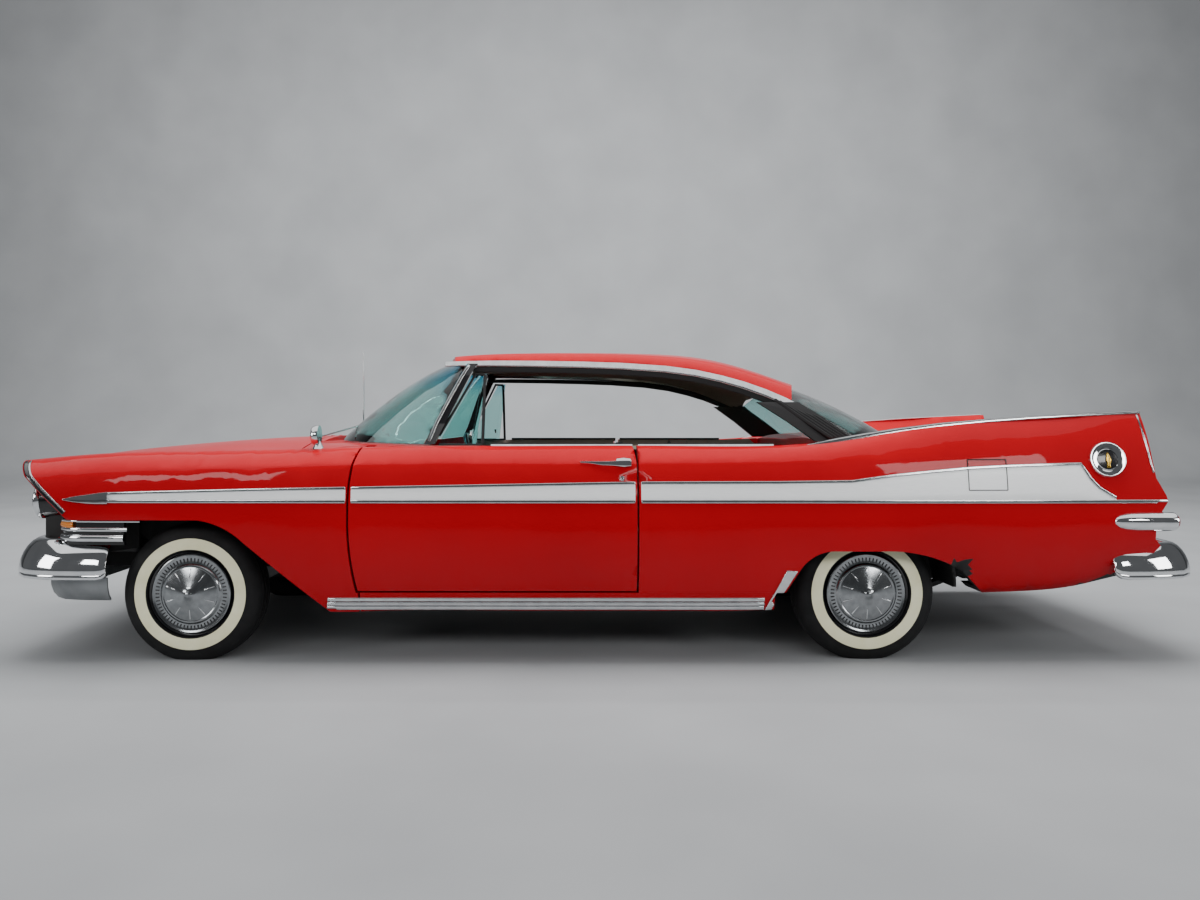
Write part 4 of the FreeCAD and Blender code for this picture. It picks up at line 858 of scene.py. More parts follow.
moulding("fin_edge", *edges_of(edge, 8), "quarter_panel_left", 3, "chrome_plate", stainless, 1.2, 2)
print("fin cap faces:", len(cap.data.polygons))

# %% [markdown]
# ## Medallion and door lock
# The round ornament is a turned chromium dish round a black field, with a plain gilt leaf in the middle.
# The door lock is a small turned barrel. Both sit square to the panel, so a small probe strip first finds
# how far out the panel lies there, and the turned piece is leaned to match it.

# %% Medallion and door lock
def ornament(name, x, z, rows, node, paint, corners=64, tilt=12.4):
    """Rings round Y on the side of the car. Rows are height over the panel and radius."""
    probe = ribbon([(x - 2, z - 2), (x + 2, z - 2)], [(x - 2, z + 2), (x + 2, z + 2)], 1)
    lay_on(probe, skins[node])
    y = 1000 * max(v.co.y for v in probe.data.vertices)
    bpy.data.objects.remove(probe)
    piece = turned((x, y, z), [(-h, r) for h, r in rows], corners=corners)
    bpy.ops.transform.rotate(value=math.radians(tilt), orient_axis="X", center_override=mm(x, y, z))
    return pair(piece, name, body_of[node], paint, 40)


DISH = [(-8, 80), (10, 80), (15, 77), (16, 72), (8, 52), (7, 47), (9, 45), (5, 44), (5, 43)]
ornament("fin_medallion_dish", 2207, 907, DISH, "quarter_panel_left", chrome)
field = ornament("fin_medallion_field", 2207, 907, [(-4, 44), (7, 44), (9, 30), (10, 12), (10.5, 0)],
                 "quarter_panel_left", gloss_black)
leaf = ribbon([(2216, 872), (2214, 890), (2220, 905), (2214, 925), (2209, 938)],
              [(2198, 872), (2201, 890), (2196, 905), (2200, 925), (2205, 938)], 2)
lay_on(leaf, field)
thicken(leaf, 4, 1.5, limit=30)
pair(leaf, "fin_medallion_leaf", "body", gilt, 40)
ornament("door_lock", 78, 828, [(-3, 11), (4, 11), (5.5, 9.5), (5.5, 6), (4, 5), (4, 0)], "door_left",
         chrome, 40, 4)
print("medallion leaf faces:", len(leaf.data.polygons))

# %% [markdown]
# ## Fuel door
# The fuel door lies flush in the spear's inlay, so all that shows is its seam. Cutting the panel would
# spoil its even shading, so four thin black strips stand for the gap.

# %% Fuel door
seam = [(1582, 776), (1582, 908), (1752, 908), (1752, 776), (1582, 776)]
for row, (a, b) in enumerate(zip(seam, seam[1:])):
    middle = ((a[0] + b[0]) / 2, (a[1] + b[1]) / 2)
    piece = ribbon(*edges_of([a, middle, b], 4), 3)
    press(piece, skins["quarter_panel_left"], 2.6, 0.6, 2.0)
    done(piece, "fuel_door_seam_%d" % row, "body", weatherstrip)
print("fuel door seams:", len(seam) - 1)

# %% [markdown]
# ## Door handles
# A handle is a die-cast grip that bows out from the door, thin at its front end and thick at the push
# button, on a plate that follows the door. The grip starts as a subdivided block whose rings are moved
# and resized; a swept section couldn't thicken only at one end.

# %% Door handles
grip = block((222, 9, 17))
bpy.ops.mesh.subdivide(number_cuts=4)
choose(grip, "verts", lambda v: v.co.x < -0.06)
stretch(1, 0.7, 0.45)
move(0, 7, 5)
choose(grip, "verts", lambda v: abs(v.co.x + 0.0444) < 0.01)
move(0, -16, 3)
choose(grip, "verts", lambda v: abs(v.co.x) < 0.01)
move(0, -20, 0)
choose(grip, "verts", lambda v: v.co.x > 0.03)
stretch(1, 1.2, 1.5)
move(0, -8, 0)
everything()
move(7, -958, 894)
modify(grip, "SUBSURF", levels=2, render_levels=2)
pair(grip, "door_handle", "door_left", chrome, 60)
base = ribbon([(52, 880), (85, 876), (118, 880)], [(52, 908), (85, 912), (118, 908)], 3)
press(base, skins["door_left"], 11, 5)
pair(base, "door_handle_plate", "door_left", chrome, 60)
print("handle faces:", len(grip.data.polygons))

# %% [markdown]
# ## Bumpers
# A bumper blade is one heavy chromium-plated pressing, open at the back, which wraps round the corners.
# Its section is drawn once and carried along the plan of the car, station by station, so that it keeps
# its depth round the bend.

# %% Bumper blades
BLADE = [(-84, 80), (-64, 86), (-42, 82), (-20, 69), (0, 48), (16, 22), (28, -8), (35, -38), (37, -56),
         (33, -65), (36, -71), (34, -84), (22, -88), (0, -86), (0, -81), (22, -76), (29, -58), (27, -38),
         (20, -8), (8, 18), (-8, 40), (-27, 61), (-46, 75), (-64, 80), (-84, 75)]
FRONT = level(470, [(-2168, -912, 270, 0.8), (-2182, -914, 270, 0.94), (-2210, -916, 269),
                    (-2300, -914, 267), (-2390, -907, 263), (-2470, -890, 254), (-2535, -856, 240),
                    (-2582, -806, 222), (-2606, -745, 206), (-2618, -660, 195), (-2626, -480, 186),
                    (-2630, -240, 182), (-2631, 0, 180)])
REAR = level(460, [(2234, -897, 270, 0.45), (2240, -899, 270, 0.66), (2258, -901, 270, 0.82),
                   (2290, -902, 271), (2370, -899, 274), (2460, -888, 280), (2540, -862, 292),
                   (2592, -816, 312), (2614, -752, 334), (2622, -670, 348), (2628, -480, 355),
                   (2631, -240, 358), (2632, 0, 360)], 0.88)
for end, path, flip in (("front", FRONT, 360), ("rear", REAR, 720)):
    blade = swept(BLADE, both_ways(path, flip))
    modify(blade, "BEVEL", width=0.002, segments=2, limit_method="ANGLE", angle_limit=math.radians(40))
    done(blade, end + "_bumper_blade", "body", chrome, 45)
    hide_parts(end + "_bumper")
    print(end, "blade faces:", len(blade.data.polygons))

# %% [markdown]
# ## Pans
# A painted pan closes the space under the front blade, a gravel pan fills the gap up to the grille, and
# another one lies between the rear blade and the tail panel. They are plain pressings that follow the
# bumper round the corner, so they are swept as well.

# %% Pans
LOWER_PAN = [(-6, 2), (2, 0), (-2, -44), (-14, -78), (-36, -104), (-42, -100), (-22, -74), (-10, -42)]
GRAVEL_PAN = [(0, -26), (6, -20), (-40, 0), (-74, 34), (-74, 40), (-44, 8), (0, -14)]
REAR_PAN = [(-60, 6), (-20, 4), (0, -8), (4, -40), (-2, -40), (-6, -12), (-22, -2), (-60, 0)]
low_path = level(388, [(-2176, -906, 270), (-2300, -900, 266), (-2400, -876, 256), (-2470, -820, 238),
                       (-2512, -740, 216), (-2536, -600, 197), (-2552, -380, 187), (-2558, 0, 180)])
gravel_path = level(548, [(-2470, -800, 235), (-2520, -690, 205), (-2545, -480, 188), (-2552, 0, 180)])
rear_path = level(520, [(2470, -850, 292), (2520, -800, 318), (2546, -720, 338), (2562, -560, 352),
                        (2570, 0, 360)])
for name, section, path, flip, slot_name, paint in (
        ("front_lower_pan", LOWER_PAN, low_path, 360, "chrome_plate", silver_paint),
        ("gravel_pan", GRAVEL_PAN, gravel_path, 360, "red_enamel", red_enamel),
        ("rear_gravel_pan", REAR_PAN, rear_path, 720, "red_enamel", red_enamel)):
    pan = swept(section, both_ways(path, flip))
    done(pan, name, "body", paint, 40)
    print(name, "faces:", len(pan.data.polygons))

# %% [markdown]
# ## Guards
# The rear blade carries two short upright horns, rounded over their tops. They are small castings, so a
# tapered block with a generous bevel is enough.

# %% Guards
for side, y in (("left", -330), ("right", 330)):
    guard = block((44, 52, 150))
    choose(guard, "faces", lambda f: f.normal.z > 0.9)
    stretch(0.6, 0.7, 1)
    choose(guard, "faces", lambda f: f.normal.z < -0.9)
    stretch(0.7, 0.8, 1)
    soften(12, 4)
    move(2640, y, 478)
    done(guard, "rear_guard_" + side, "body", chrome, 50)
print("guard faces:", len(guard.data.polygons))

# %% [markdown]
# ## Number plate
# A blank white enamelled plate of 304 by 152 mm hangs between the guards on two screws. Its raised rim is
# inset twice, so it is pressed in the plate and not laid on it.

# %% Number plate
plate_white = finish("white_plate_enamel", ("TexNoise", {"Scale": per_mm(80), "Detail": 5.0}),
                     [(0.3, "#CFCDC4"), (0.7, "#E4E2DA")], Roughness=0.35)
plate = block((2.0, 304, 152))
choose(plate, "edges", lambda e: abs(e.verts[0].co.x - e.verts[1].co.x) > 0.001)
bpy.ops.mesh.bevel(offset=0.012, segments=4)
choose(plate, "faces", lambda f: f.normal.x > 0.9)
bpy.ops.mesh.inset(thickness=0.006, depth=0)
bpy.ops.mesh.inset(thickness=0.002, depth=-0.0009)
everything()
move(2448.5, 0, 660)
done(plate, "rear_number_plate", "body", plate_white, 40)
for side, y in (("left", -88.9), ("right", 88.9)):
    screw = turned((2449, y, 660), [(0, 6), (2, 6), (3.4, 4.5), (4, 0)], axis=(1, 0, 0), corners=24)
    done(screw, "plate_screw_" + side, "body", chrome)
print("plate faces:", len(plate.data.polygons))

# %% [markdown]
# ## Splash plates
# A flat black steel plate inside each front fender keeps stones off the lamps and closes the view
# through behind the bumper. Its lower rear corner is raised, because the steered tyre comes near it.

# %% Splash plates
for side, y in (("left", -703), ("right", 703)):
    splash = block((430, 5, 300))
    choose(splash, "verts", lambda v: v.co.x > 0 and v.co.z < 0)
    move(0, 0, 100)
    choose(splash, "faces", lambda f: f.normal.x < -0.9)
    stretch(1, 1, 0.7)
    everything()
    move(-2340, y, 545)
    done(splash, "front_splash_" + side, "body", chassis_black)
print("splash plates ready")

# %% [markdown]
# ## Tail lamps
# On each rear corner a chromium bullet lies along the fin's foot, with a ribbed ruby lens in its end.
# Both are turned forms, so they are modelled on the lathe, the lens with a step for each rib.

# %% Tail lamps
BULLET = [(0, 2), (4, 9), (14, 20), (34, 31), (64, 38), (110, 41.5), (220, 42), (268, 41), (276, 39.5),
          (278, 37), (276, 35)]
RUBY_LENS = [(270, 36), (279, 35.5), (284, 32), (285, 31), (284, 30), (289, 27), (292, 22), (293, 20),
             (292, 19), (296, 14), (299, 6), (300, 0)]
for side, y in (("left", -921), ("right", 921)):
    bullet = turned((2212, y, 638), BULLET, axis=(1, 0, 0), corners=48)
    done(bullet, "tail_lamp_bullet_" + side, "body", chrome, 40)
    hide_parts("tail_lamps")
    lens = turned((2212, y, 638), RUBY_LENS, axis=(1, 0, 0), corners=48)
    done(lens, "tail_lamp_lens_" + side, "body", ruby, 40)
print("tail lamps:", len(bullet.data.polygons))

# %% [markdown]
# ## Brows
# The fenders reach over the lamps as brows, cut back on a slant and edged by a dark lip with a bright
# bead behind it. The slant is one plane, so a bisect gives a cleaner edge than moving corners.

# %% Brows
SLANT = Vector((-0.688, 0, -0.726))
for side in ("left", "right"):
    trimmed(skins["front_fender_" + side], mm(-2603, 0, 903), SLANT)
brow = [(-2602, 902), (-2550, 853), (-2492, 798), (-2434, 743), (-2368, 680), (-2354, 667)]
for name, back, width, height, slot_name, paint in (("brow_lip", 9, 20, 3.5, "black_trim", gloss_black),
                                                    ("brow_bead", 23, 7, 5, "chrome_plate", stainless)):
    line = [(x - back * SLANT.x, z - back * SLANT.z) for x, z in brow]
    lower, upper = edges_of(line, width)
    moulding(name, upper, lower, "front_fender_left", height, slot_name, paint, 1.5)
print("brows trimmed and edged")

# %% [markdown]
# ## Hood lip and grille header
# A bright lip runs along the hood's front edge and opens with it, and a header closes the gap above the
# grille and stays behind. Both follow the crown of the hood, so their stations rise to the middle.

# %% Hood lip and grille header
LIP = [(-2, -14), (4, -13), (8, -5), (8, 5), (4, 12), (-2, 13)]
lip = swept(LIP, both_ways([(-2474, -640, 869, 188, 1), (-2475, -600, 872, 187, 1),
                            (-2494, -400, 884, 186, 1), (-2515, -200, 893, 184, 1),
                            (-2526, 0, 898, 180, 1)]))
done(lip, "hood_lip", "hood", stainless, 40)
HEADER = [(0, -16), (7, -14), (9, 0), (7, 14), (0, 16), (-40, 22), (-40, 16), (-6, 8)]
header = swept(HEADER, both_ways([(-2478, -545, 838, 187, 1), (-2492, -400, 842, 185, 1),
                                  (-2504, -200, 846, 182, 1), (-2508, 0, 848, 180, 1)]))
done(header, "grille_header", "body", stainless, 40)
print("lip and header faces:", len(lip.data.polygons), len(header.data.polygons))

# %% [markdown]
# ## Head lamps
# Under each brow two sealed lamps sit in a shared chromium pod. A lamp is four turned parts: a black
# bucket behind, a rolled bezel, a bright bowl and a domed glass in front of it. The bucket's gloss black
# is painted shade: it darkens the inside of the pod behind the bezel. They stay separate, because the
# glass only looks deep with air and a reflector behind it.

# %% Head lamps
# The black bucket stands for the shade inside the pod: it is painted shade, not a part that shows.
PAINTED_SHADE_BUCKET = [(150, 60), (120, 66), (16, 74), (6, 77)]
BEZEL = [(14, 77), (6, 83), (-2, 85), (-8, 83), (-11, 79), (-9, 75), (-2, 72), (2, 69)]
BOWL = [(0, 70), (18, 60), (36, 44), (50, 24), (56, 8), (56, 0)]
DOME = [(0, 71), (-6, 66), (-12, 54), (-17, 36), (-20, 18), (-21, 0)]
LAMP_PARTS = [("lamp_bucket", PAINTED_SHADE_BUCKET, 64, "chrome_plate", gloss_black, 40, None),
              ("lamp_bezel", BEZEL, 64, "chrome_plate", chrome, 40, "lamp_pods"),
              ("lamp_reflector", BOWL, 48, "chrome_plate", chrome, 60, None),
              ("lamp_glass", DOME, 48, "lamp_glass", lamp_glass, 60, "lamp_lenses")]
for side, sign in (("left", -1), ("right", 1)):
    for y in (626, 806):
        for name, rows, corners, slot_name, paint, angle, solid in LAMP_PARTS:
            part = turned((-2505, sign * y, 724), rows, axis=(1, 0, 0), corners=corners)
            done(part, "%s_%s_%d" % (name, side, y), "body", paint, angle)
            if solid:
                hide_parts(solid)
print("parts of a lamp:", len(LAMP_PARTS))

# %% [markdown]
# ## Bands round the corner
# Three stepped bright bands wrap each front corner below the lamps, over a black backing, and the amber
# parking lamp sits among them. All share one half-round section, swept round one plan of the corner.

# %% Bands round the corner
BAND = [(0, -15), (6, -14), (10, -9), (12, -2), (10, 8), (5, 14), (0, 15)]
BACK = [(-24, -58), (-6, -56), (-3, 0), (-3, 50), (-24, 52)]
CORNER = [(-2090, -936, 270), (-2200, -933, 269), (-2290, -926, 265), (-2345, -912, 254), (-2382, -884, 236),
          (-2406, -838, 218), (-2422, -770, 202), (-2432, -690, 195), (-2440, -560, 190)]
for row, (z, size, first) in enumerate([(640, 0.36, -2020), (604, 0.62, -2074), (566, 1.0, -2090)]):
    band = swept(BAND, level(z, [(first, -936, 270)] + CORNER[1:], size))
    pair(band, "corner_band_%d" % row, "body", chrome, 40)
backing = swept(BACK, level(592, CORNER))
pair(backing, "corner_backing", "body", gloss_black, 40)
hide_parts("lower_bands")
parking = swept(BAND, level(622, [(-2318, -920, 260)] + CORNER[3:8], 0.8))
pair(parking, "parking_lamp", "body", amber, 40)
print("band faces:", len(band.data.polygons))

# %% [markdown]
# ## Benches
# Each bench is a cushion and a back of springs, cotton and cloth. A block a little smaller than the
# finished pad is remeshed, blown up as cloth so that it crowns between its corners, and then pulled in
# along its sewn channels. A sculpted block would look hard; air pressure gives real tension.

# %% Blowing up a pad
def blown_up(piece, limit=0.022):
    """Fills a closed mesh with air as cloth, and lets no corner move further than a limit in metres."""
    before = [v.co.copy() for v in piece.data.vertices]
    air = piece.modifiers.new("Cloth", "CLOTH")
    air.settings.use_pressure = True
    air.settings.uniform_pressure_force = 4.0
    air.settings.effector_weights.gravity = 0.0
    air.settings.quality = 4
    for step in range(1, 21):
        bpy.context.scene.frame_set(step)
    only(piece)
    bpy.ops.object.modifier_apply(modifier="Cloth")
    bpy.context.scene.frame_set(1)
    for vertex, old in zip(piece.data.vertices, before):
        way = vertex.co - old
        if way.length > limit:
            vertex.co = old + way.normalized() * limit


def size_and_middle(low, high):
    """A box between two corners, as its size and its middle."""
    return [h - l for l, h in zip(low, high)], [(h + l) / 2 for l, h in zip(low, high)]


print("pads can be blown up")

# %% [markdown]
# ## Channels and covers of a pad
# The sewn channels run fore and aft on a cushion and upright on a back, fourteen from side to side. Each
# is a line of corners drawn in by 9 mm. The middle of a pad is cloth, and vinyl covers its rim.

# %% Padded benches
def pad(name, node, low, high, crown="z"):
    """A stuffed pad between two corners, in millimetres, crowned upwards or to the front."""
    size, middle = size_and_middle(low, high)
    piece = block(size, middle, min(size) * 0.28)
    modify(piece, "REMESH", mode="VOXEL", voxel_size=0.012)
    blown_up(piece)
    edit(piece)
    front, back, edge, top = [v * 0.001 for v in (low[0], high[0], high[1], high[2])]
    for k in range(-7, 8):
        line = k * (size[1] * 0.001 - 0.14) / 14
        if crown == "z":
            choose(piece, "verts", lambda v: abs(v.co.y - line) < 0.0075 and v.normal.z > 0.7
                   and front + 0.09 < v.co.x < back - 0.07)
            move(0, 0, -9)
        else:
            choose(piece, "verts", lambda v: abs(v.co.y - line) < 0.0075 and v.normal.x < -0.7
                   and v.co.z < top - 0.10)
            move(9, 0, 0)
    modify(piece, "SUBSURF", levels=1, render_levels=1)
    done(piece, name, "body", cloth, 60)
    if crown == "z":
        painted_faces(piece, vinyl, lambda c, n: n.z < 0.5 or c.x < front + 0.08 or abs(c.y) > edge - 0.07)
    else:
        painted_faces(piece, vinyl, lambda c, n: n.x > -0.4 or abs(c.y) > edge - 0.07 or c.z > top - 0.10)
    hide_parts(node)
    print(name, "faces:", len(piece.data.polygons))


pad("front_seat_cushion", "front_seat", (-372, -686, 420), (150, 686, 582))
pad("front_seat_back", "front_seat", (110, -686, 560), (236, 686, 926), "x")
pad("rear_seat_cushion", "rear_seat", (284, -590, 400), (760, 590, 546))
pad("rear_seat_back", "rear_seat", (740, -590, 520), (890, 590, 926), "x")

# %% [markdown]
# ## Bench risers
# A pressed steel riser carries each bench, closed at the sides by a vinyl valance. It narrows towards
# the floor, so a block with a smaller foot shows it.

# %% Bench risers
for name, low, high in (("front_seat_riser", (-350, -660, 322), (215, 660, 430)),
                        ("rear_seat_riser", (300, -560, 322), (880, 560, 410))):
    size, middle = size_and_middle(low, high)
    riser = block(size)
    choose(riser, "faces", lambda f: f.normal.z < -0.9)
    stretch(0.86, 0.94, 1)
    soften(10, 3)
    move(*middle)
    done(riser, name, "body", vinyl, 45)
print("riser faces:", len(riser.data.polygons))

# %% [markdown]
# ## Door cards
# Door cards are vinyl over board with a bright strip, an arm rest and a window crank. They hide the bare
# inner sheet metal. A card is thin, so it rides on the panel it is glued to, with its welt inset twice.

# %% Door cards
def card(name, body, x0, x1, z0, z1):
    piece = block((x1 - x0, 9, z1 - z0))
    choose(piece, "faces", lambda f: f.normal.y > 0.9)
    for thickness, depth in ((0.035, 0), (0.004, -0.003), (0.004, 0.003)):
        bpy.ops.mesh.inset(thickness=thickness, depth=depth)
    choose(piece, "edges", lambda e: abs(e.verts[0].co.y - e.verts[1].co.y) > 0.008)
    bpy.ops.mesh.bevel(offset=0.03, segments=5)
    everything()
    move((x0 + x1) / 2, -780, (z0 + z1) / 2)
    pair(piece, name, body, vinyl, 40)


def bar(low, high, edge):
    """A bar with rounded edges between two corners, in millimetres."""
    return block(*size_and_middle(low, high), edge)


card("door_card", "door_left", -940, 108, 432, 898)
card("quarter_card", "body", 190, 800, 432, 930)
DOOR_BARS = [("door_strip", (-900, -777, 742), (70, -772, 760), 2, "chrome_plate", stainless),
             ("arm_rest", (-560, -776, 640), (-180, -738, 688), 12, "seat_vinyl", vinyl),
             ("crank_arm", (-650, -762, 694), (-560, -756, 706), 2.5, "chrome_plate", chrome)]
for name, low, high, edge, slot_name, paint in DOOR_BARS:
    pair(bar(low, high, edge), name, "door_left", paint, 40)
crank = turned((-640, -776, 700), [(0, 22), (8, 22), (12, 16), (16, 8), (17, 0)], corners=32)
pair(crank, "window_crank", "door_left", chrome)
print("cards ready, crank faces:", len(crank.data.polygons))

# %% [markdown]
# ## Carpet and headlining
# The floor has a cut-pile carpet and the roof a perforated lining. Both are glued flat to the metal, so
# they are a second finish on its inner faces; a separate sheet would only hide in it.

# %% Carpet and headlining
floor_skin = panel("floor_pan", chassis_black, 30)
woven = painted_faces(floor_skin, carpet, lambda c, n: n.z > 0.3 and c.z < 0.62
                      and -1.2 < c.x < 0.95 and abs(c.y) < 0.79)
lined = painted_faces(skins["roof"], headlining,
                      lambda c, n: c.z > 1.15 and (n.z < -0.25 or n.y * c.y < -0.1))
print("carpet faces:", woven, "lining faces:", lined)

# %% [markdown]
# ## Instruments
# Round dials behind a bright bezel, a glove box lid and a row of push knobs sit on the painted dash. The
# dial's scale is a ring wave in its finish, because its marks are printed and have no depth.

# %% Instruments
dial_black = finish("numbered_dial_black", ("TexWave", {"Scale": per_band(15.708)},
                                            {"wave_type": "RINGS", "rings_direction": "X"}),
                    [(0.9, "#111214"), (0.96, "#B9BBB4")], Roughness=0.3)
for name, y, radius in (("speedometer", -370, 62), ("fuel_gauge", -505, 40), ("clock", -235, 40)):
    bezel = [(-12, radius), (4, radius), (8, radius - 3), (8, radius - 7), (0, radius - 9)]
    face = [(-6, radius - 8), (0, radius - 9), (2, 6), (9, 5), (10, 0)]
    for part, rows, slot_name, paint in (("bezel", bezel, "chrome_plate", chrome),
                                         ("face", face, "black_plastic", dial_black)):
        piece = turned((-905, y, 812), rows, axis=(1, 0, 0), corners=48)
        done(piece, "%s_%s" % (name, part), "body", paint, 40)
KNOB = [(-4, 9), (10, 8), (12, 13), (22, 12.5), (25, 9), (26, 0)]
for i in range(5):
    knob = turned((-905, -90 + i * 45, 770), KNOB, axis=(1, 0, 0), corners=24)
    done(knob, "dash_knob_%d" % i, "body", chrome, 40)
done(bar((-911, -640, 738), (-900, 640, 750), 3), "dash_strip", "body", stainless, 40)
done(bar((-909, 200, 762), (-900, 520, 868), 4), "glove_box_lid", "body", red_enamel, 40)
print("knob faces:", len(knob.data.polygons))

# %% [markdown]
# ## Horn ring
# The wheel gets a bright horn ring, a bent rod that lies in the wheel's own tilted plane, 20 mm above its
# hub. A torus is such a rod, and it is turned as it is added, so its mesh keeps the tilt.

# %% Horn ring
HUB = Vector((-0.585, -0.370, 0.815))
TILT = Vector((1, 0, 0.4)).normalized()
ring = start("torus", major_radius=0.125, minor_radius=0.005, major_segments=72, minor_segments=12,
             location=HUB + TILT * 0.02, rotation=(0, math.atan2(TILT.x, TILT.z), 0))
done(ring, "horn_ring", "body", chrome, 60)
print("horn ring faces:", len(ring.data.polygons))

# %% [markdown]
# ## Roof trim
# A broad bright drip rail frames the roof from the windscreen to the rear pillar, with black sponge
# rubber under it for the frameless door glass. They follow the roof rail in space, so the strips get
# their own depth, station by station, and aren't pressed onto anything.

# %% Drip rail
def trim_line(name, line, widths, height, paint, edge, cuts=2, body="body"):
    """A strip along points of x, y and z, facing outwards, on both sides."""
    lower, upper = edges_of([(x, z) for x, y, z in line], widths)
    piece = ribbon(lower, upper, cuts, [y for x, y, z in line])
    thicken(piece, height, edge, 3)
    return pair(piece, name, body, paint, 50)


RAIL = [(-735, -590, 1343), (-640, -604, 1344), (-500, -609, 1345), (-300, -612, 1343), (-96, -613, 1339),
        (100, -614, 1332), (300, -615, 1318), (440, -619, 1299), (560, -625, 1272), (660, -636, 1243),
        (760, -651, 1206), (850, -668, 1166), (905, -680, 1140)]
slanted = [(x, (y - 4, y + 12), z) for x, y, z in RAIL]
widths = [20, 24, 27, 29, 30, 31, 32, 33, 34, 35, 36, 34, 24]
rail = trim_line("drip_rail", slanted, widths, 9, stainless, 4)
rubber_line = [(x, y + 5, z - 27) for x, y, z in RAIL[1:-1]]
trim_line("roof_weatherstrip", rubber_line, [20, 24, 25, 26, 26, 27, 28, 30, 32, 34, 36], 12,
          weatherstrip, 4)
print("drip rail faces:", len(rail.data.polygons))

# %% [markdown]
# ## Rear pillar rubber
# The rear pillar is closed by a ribbed rubber band: five ribs side by side, each a strip of its own, over
# a pillar whose own faces are rubber too, so that no red shows between them.

# %% Rear pillar rubber
for row in range(5):
    back = row * 21
    line = [(800 + back, -664, 1176 - back * 0.45), (850 + back, -682, 1138 - back * 0.25),
            (905 + back, -704, 1096 - back * 0.05), (985 + back, -738, 1036 - back * 0.02),
            (1042 + back, -760, 995)]
    trim_line("pillar_rib_%d" % row, line, 17, 12, weatherstrip, 5)
covered = painted_faces(skins["roof"], weatherstrip,
                        lambda c, n: c.z < 1.17 and abs(c.y) > 0.62 and c.x > 0.7)
print("pillar faces:", covered)

# %% [markdown]
# ## Window sills and rear jambs
# Inside the belt line the inner faces of doors and quarters are given the dark lining finish, and a black
# rubber post closes the gap behind each door when it is shut.

# %% Window sills and rear jambs
for side, sign in (("left", -1), ("right", 1)):
    for node in ("door_" + side, "quarter_panel_" + side):
        lined = painted_faces(skins[node], headlining, lambda c, n: abs(c.y) < 0.80 and n.y * sign < 0.3
                              and c.z > 0.55 and c.x < 0.98)
    jamb = block((44, 14, 590), (156, sign * 772, 655))
    soften(2, 1)
    done(jamb, "rear_jamb_" + side, "body", weatherstrip)
print("lined quarter faces:", lined)

# %% [markdown]
# ## Front pillar strip
# A thin bright strip covers the joint of the windscreen pillar. It runs straight down the slanted pillar
# in space, so it is made as the drip rail is.

# %% Front pillar strip
front_line = [(-618, -628, 1338), (-650, -651, 1284), (-700, -689, 1185), (-755, -735, 1070),
              (-786, -768, 984)]
strip = trim_line("pillar_strip", front_line, 13, 6, stainless, 2.5)
print("pillar strip faces:", len(strip.data.polygons))

# %% [markdown]
# ## Belt line
# The door glass is wound down, so a rubber lip and a bright strip close the slot along the belt. They
# stop at the door's rear edge and start again behind it, because the door opens.

# %% Belt strips
for part, body, x0, x1 in (("door", "door_left", -505, 134), ("quarter", "body", 158, 770)):
    xs = [x0 + (x1 - x0) * k / 4 for k in range(5)]
    trim_line("belt_strip_" + part, [(x, (-795, -784), 963) for x in xs], 15, 6, stainless,
              2.5, 1, body)
    trim_line("belt_rubber_" + part, [(x, -783, 972) for x in xs], 10, 6, weatherstrip, 2, 1,
              body)
print("belt strips ready")

# %% [markdown]
# ## Vent window frames
# The vent windows have black rubber channels and small bright latches. A channel is a straight round
# bar, so each is one cylinder laid from point to point.

# %% Vent window frames
def rod(a, b, thick):
    """A round bar from one point to another, in millimetres."""
    a, b = mm(*a), mm(*b)
    return start("cylinder", vertices=12, radius=thick * 0.0005, depth=(b - a).length, location=(a + b) / 2,
                 rotation=(b - a).to_track_quat("Z", "Y").to_euler())


for name, a, b, thick in (("vent_post", (-545, -752, 968), (-545, -618, 1294), 15),
                          ("vent_foot", (-742, -757, 969), (-545, -752, 968), 13),
                          ("vent_head", (-742, -740, 1010), (-590, -616, 1296), 12),
                          ("vent_cap", (-596, -616, 1296), (-545, -618, 1294), 12),
                          ("vent_latch", (-600, -746, 1010), (-600, -722, 1030), 12)):
    piece = rod(a, b, thick)
    soften(thick * 0.1, 2)
    slot_name, paint = ("chrome_plate", chrome) if name == "vent_latch" else ("black_trim", weatherstrip)
    pair(piece, name, "door_left", paint, 50)
print("vent frames ready")

# %% [markdown]
# ## Wipers
# Two wiper arms lie along the foot of the screen, each a thin rod on a turned hub. Both sweep the same
# way, so they are alike and not mirrored.

# %% Wipers
for side, y in (("left", -620), ("right", 120)):
    arm = rod((-1330, y, 1000), (-1215, y + 420, 1058), 8)
    done(arm, "wiper_arm_" + side, "body", stainless, 50)
    hub = turned((-1330, y, 990), [(0, 16), (14, 14), (20, 10), (22, 0)], axis=(0, 0, 1), corners=24)
    done(hub, "wiper_hub_" + side, "body", chrome, 50)
print("wiper hub faces:", len(hub.data.polygons))

# %% [markdown]
# ## Wheelhouses
# Inside the arches the panels are black, partly as underseal and partly as painted shade, so the openings
# read as deep shadow. It is the same sheet metal, so only the finish of those faces changes.

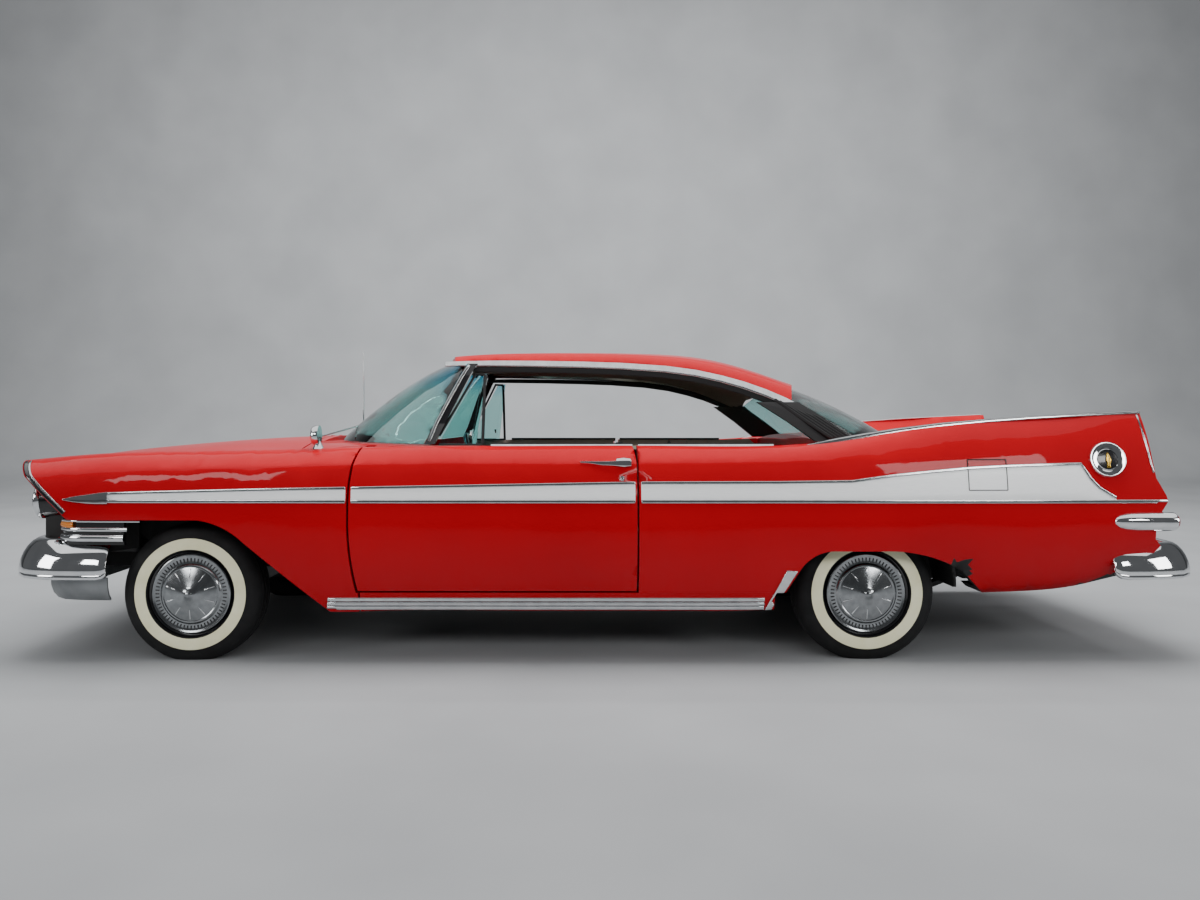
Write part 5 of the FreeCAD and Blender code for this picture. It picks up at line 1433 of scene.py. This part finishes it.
# %% Underseal and painted shade
# Each test picks faces that turn black, as underseal and as painted shade; the last one darkens a narrow
# strip inside the rear opening.
REAR_UNDERSEAL_AND_SHADE_TESTS = [lambda c, n: abs(c.y) < 0.862 and c.z < 0.70 and c.x < 2.36,
              lambda c, n: abs(n.y) < 0.6 and c.z < 0.62 and 0.86 < c.x < 1.95,
              lambda c, n: c.z < 0.47 and 1.50 < c.x < 1.60]
for side in ("left", "right"):
    rear = [painted_faces(skins["quarter_panel_" + side], chassis_black, test) for test in REAR_UNDERSEAL_AND_SHADE_TESTS]
    front = painted_faces(skins["front_fender_" + side], chassis_black,
                          lambda c, n: abs(c.y) < 0.86 and c.z < 0.80 and c.x > -2.36)
print("undersealed faces:", sum(rear), front)

# %% [markdown]
# ## Floor
# The car stands on a plain pale floor that curves up into a plain backdrop, as a studio's paper
# roll does. A corner there would show as a line behind the car.

# %% Floor
plaster = finish("pale_painted_floor", ("TexNoise", {"Scale": per_mm(900), "Detail": 3.0}),
                 [(0.3, "#8A8C8E"), (0.7, "#939597")], Roughness=0.75)
floor = start("plane", size=1, location=(0, 0, -0.0005))
stretch(60, 30, 1)
choose(floor, "edges", lambda e: all(v.co.y > 14 for v in e.verts))
move(0, -7000, 0)
for step in ((0, 1.2, 0.35), (0, 0.8, 0.9), (0, 0.35, 1.2), (0, 0, 9)):
    bpy.ops.mesh.extrude_region_move(TRANSFORM_OT_translate={"value": step})
modify(floor, "SUBSURF", levels=3, render_levels=3)
floor.name = "floor"
floor.data.materials.append(plaster)
only(floor)
bpy.ops.object.shade_smooth_by_angle(angle=math.radians(60))
print("floor faces:", len(floor.data.polygons))

# %% [markdown]
# ## Studio lamps
# The light is plain and soft: one lamp overhead that runs the length of the car, a broad ceiling, lamps
# in front of the side that faces us, one at each end, and a wash on the backdrop. Those that would draw
# a hard white shape in the enamel are hidden from reflections.

# %% Studio lamps
def soft_lamp(name, place, target, size, watts, seen=True):
    lamp = bpy.data.lights.new(name, "AREA")
    lamp.shape = "RECTANGLE"
    lamp.size, lamp.size_y = size
    lamp.energy = watts
    holder = bpy.data.objects.new(name, lamp)
    holder.location = place
    holder.rotation_euler = (Vector(target) - Vector(place)).to_track_quat("-Z", "Y").to_euler()
    holder.visible_glossy = seen
    bpy.context.scene.collection.objects.link(holder)


soft_lamp("overhead", (0, -0.6, 4.4), (0, -0.2, 0), (6.5, 2.2), 330, seen=False)
soft_lamp("ceiling", (0, -0.4, 4.6), (0, -0.4, 0), (13.0, 7.0), 300)
soft_lamp("near_side", (0.6, -7.5, 3.6), (0, 0, 0.6), (9.0, 1.6), 230, seen=False)
soft_lamp("near_left", (-4.4, -6.4, 3.2), (-1.6, -0.9, 0.7), (2.0, 1.1), 60)
soft_lamp("near_right", (4.4, -6.4, 3.2), (1.6, -0.9, 0.7), (2.0, 1.1), 60)
soft_lamp("nose_end", (-6.5, -3.5, 2.2), (-1, 0, 0.6), (1.6, 2.0), 70)
soft_lamp("tail_end", (6.5, -3.5, 2.2), (1, 0, 0.6), (1.6, 2.0), 70)
soft_lamp("backdrop_wash", (0, 2.5, 6.5), (0, 9.5, 1.5), (14.0, 2.0), 1900, seen=False)

world = bpy.data.worlds.new("studio")
bpy.context.scene.world = world
world.use_nodes = True
world.node_tree.nodes["Background"].inputs["Color"].default_value = colour("#C9CCD0")
world.node_tree.nodes["Background"].inputs["Strength"].default_value = 0.16
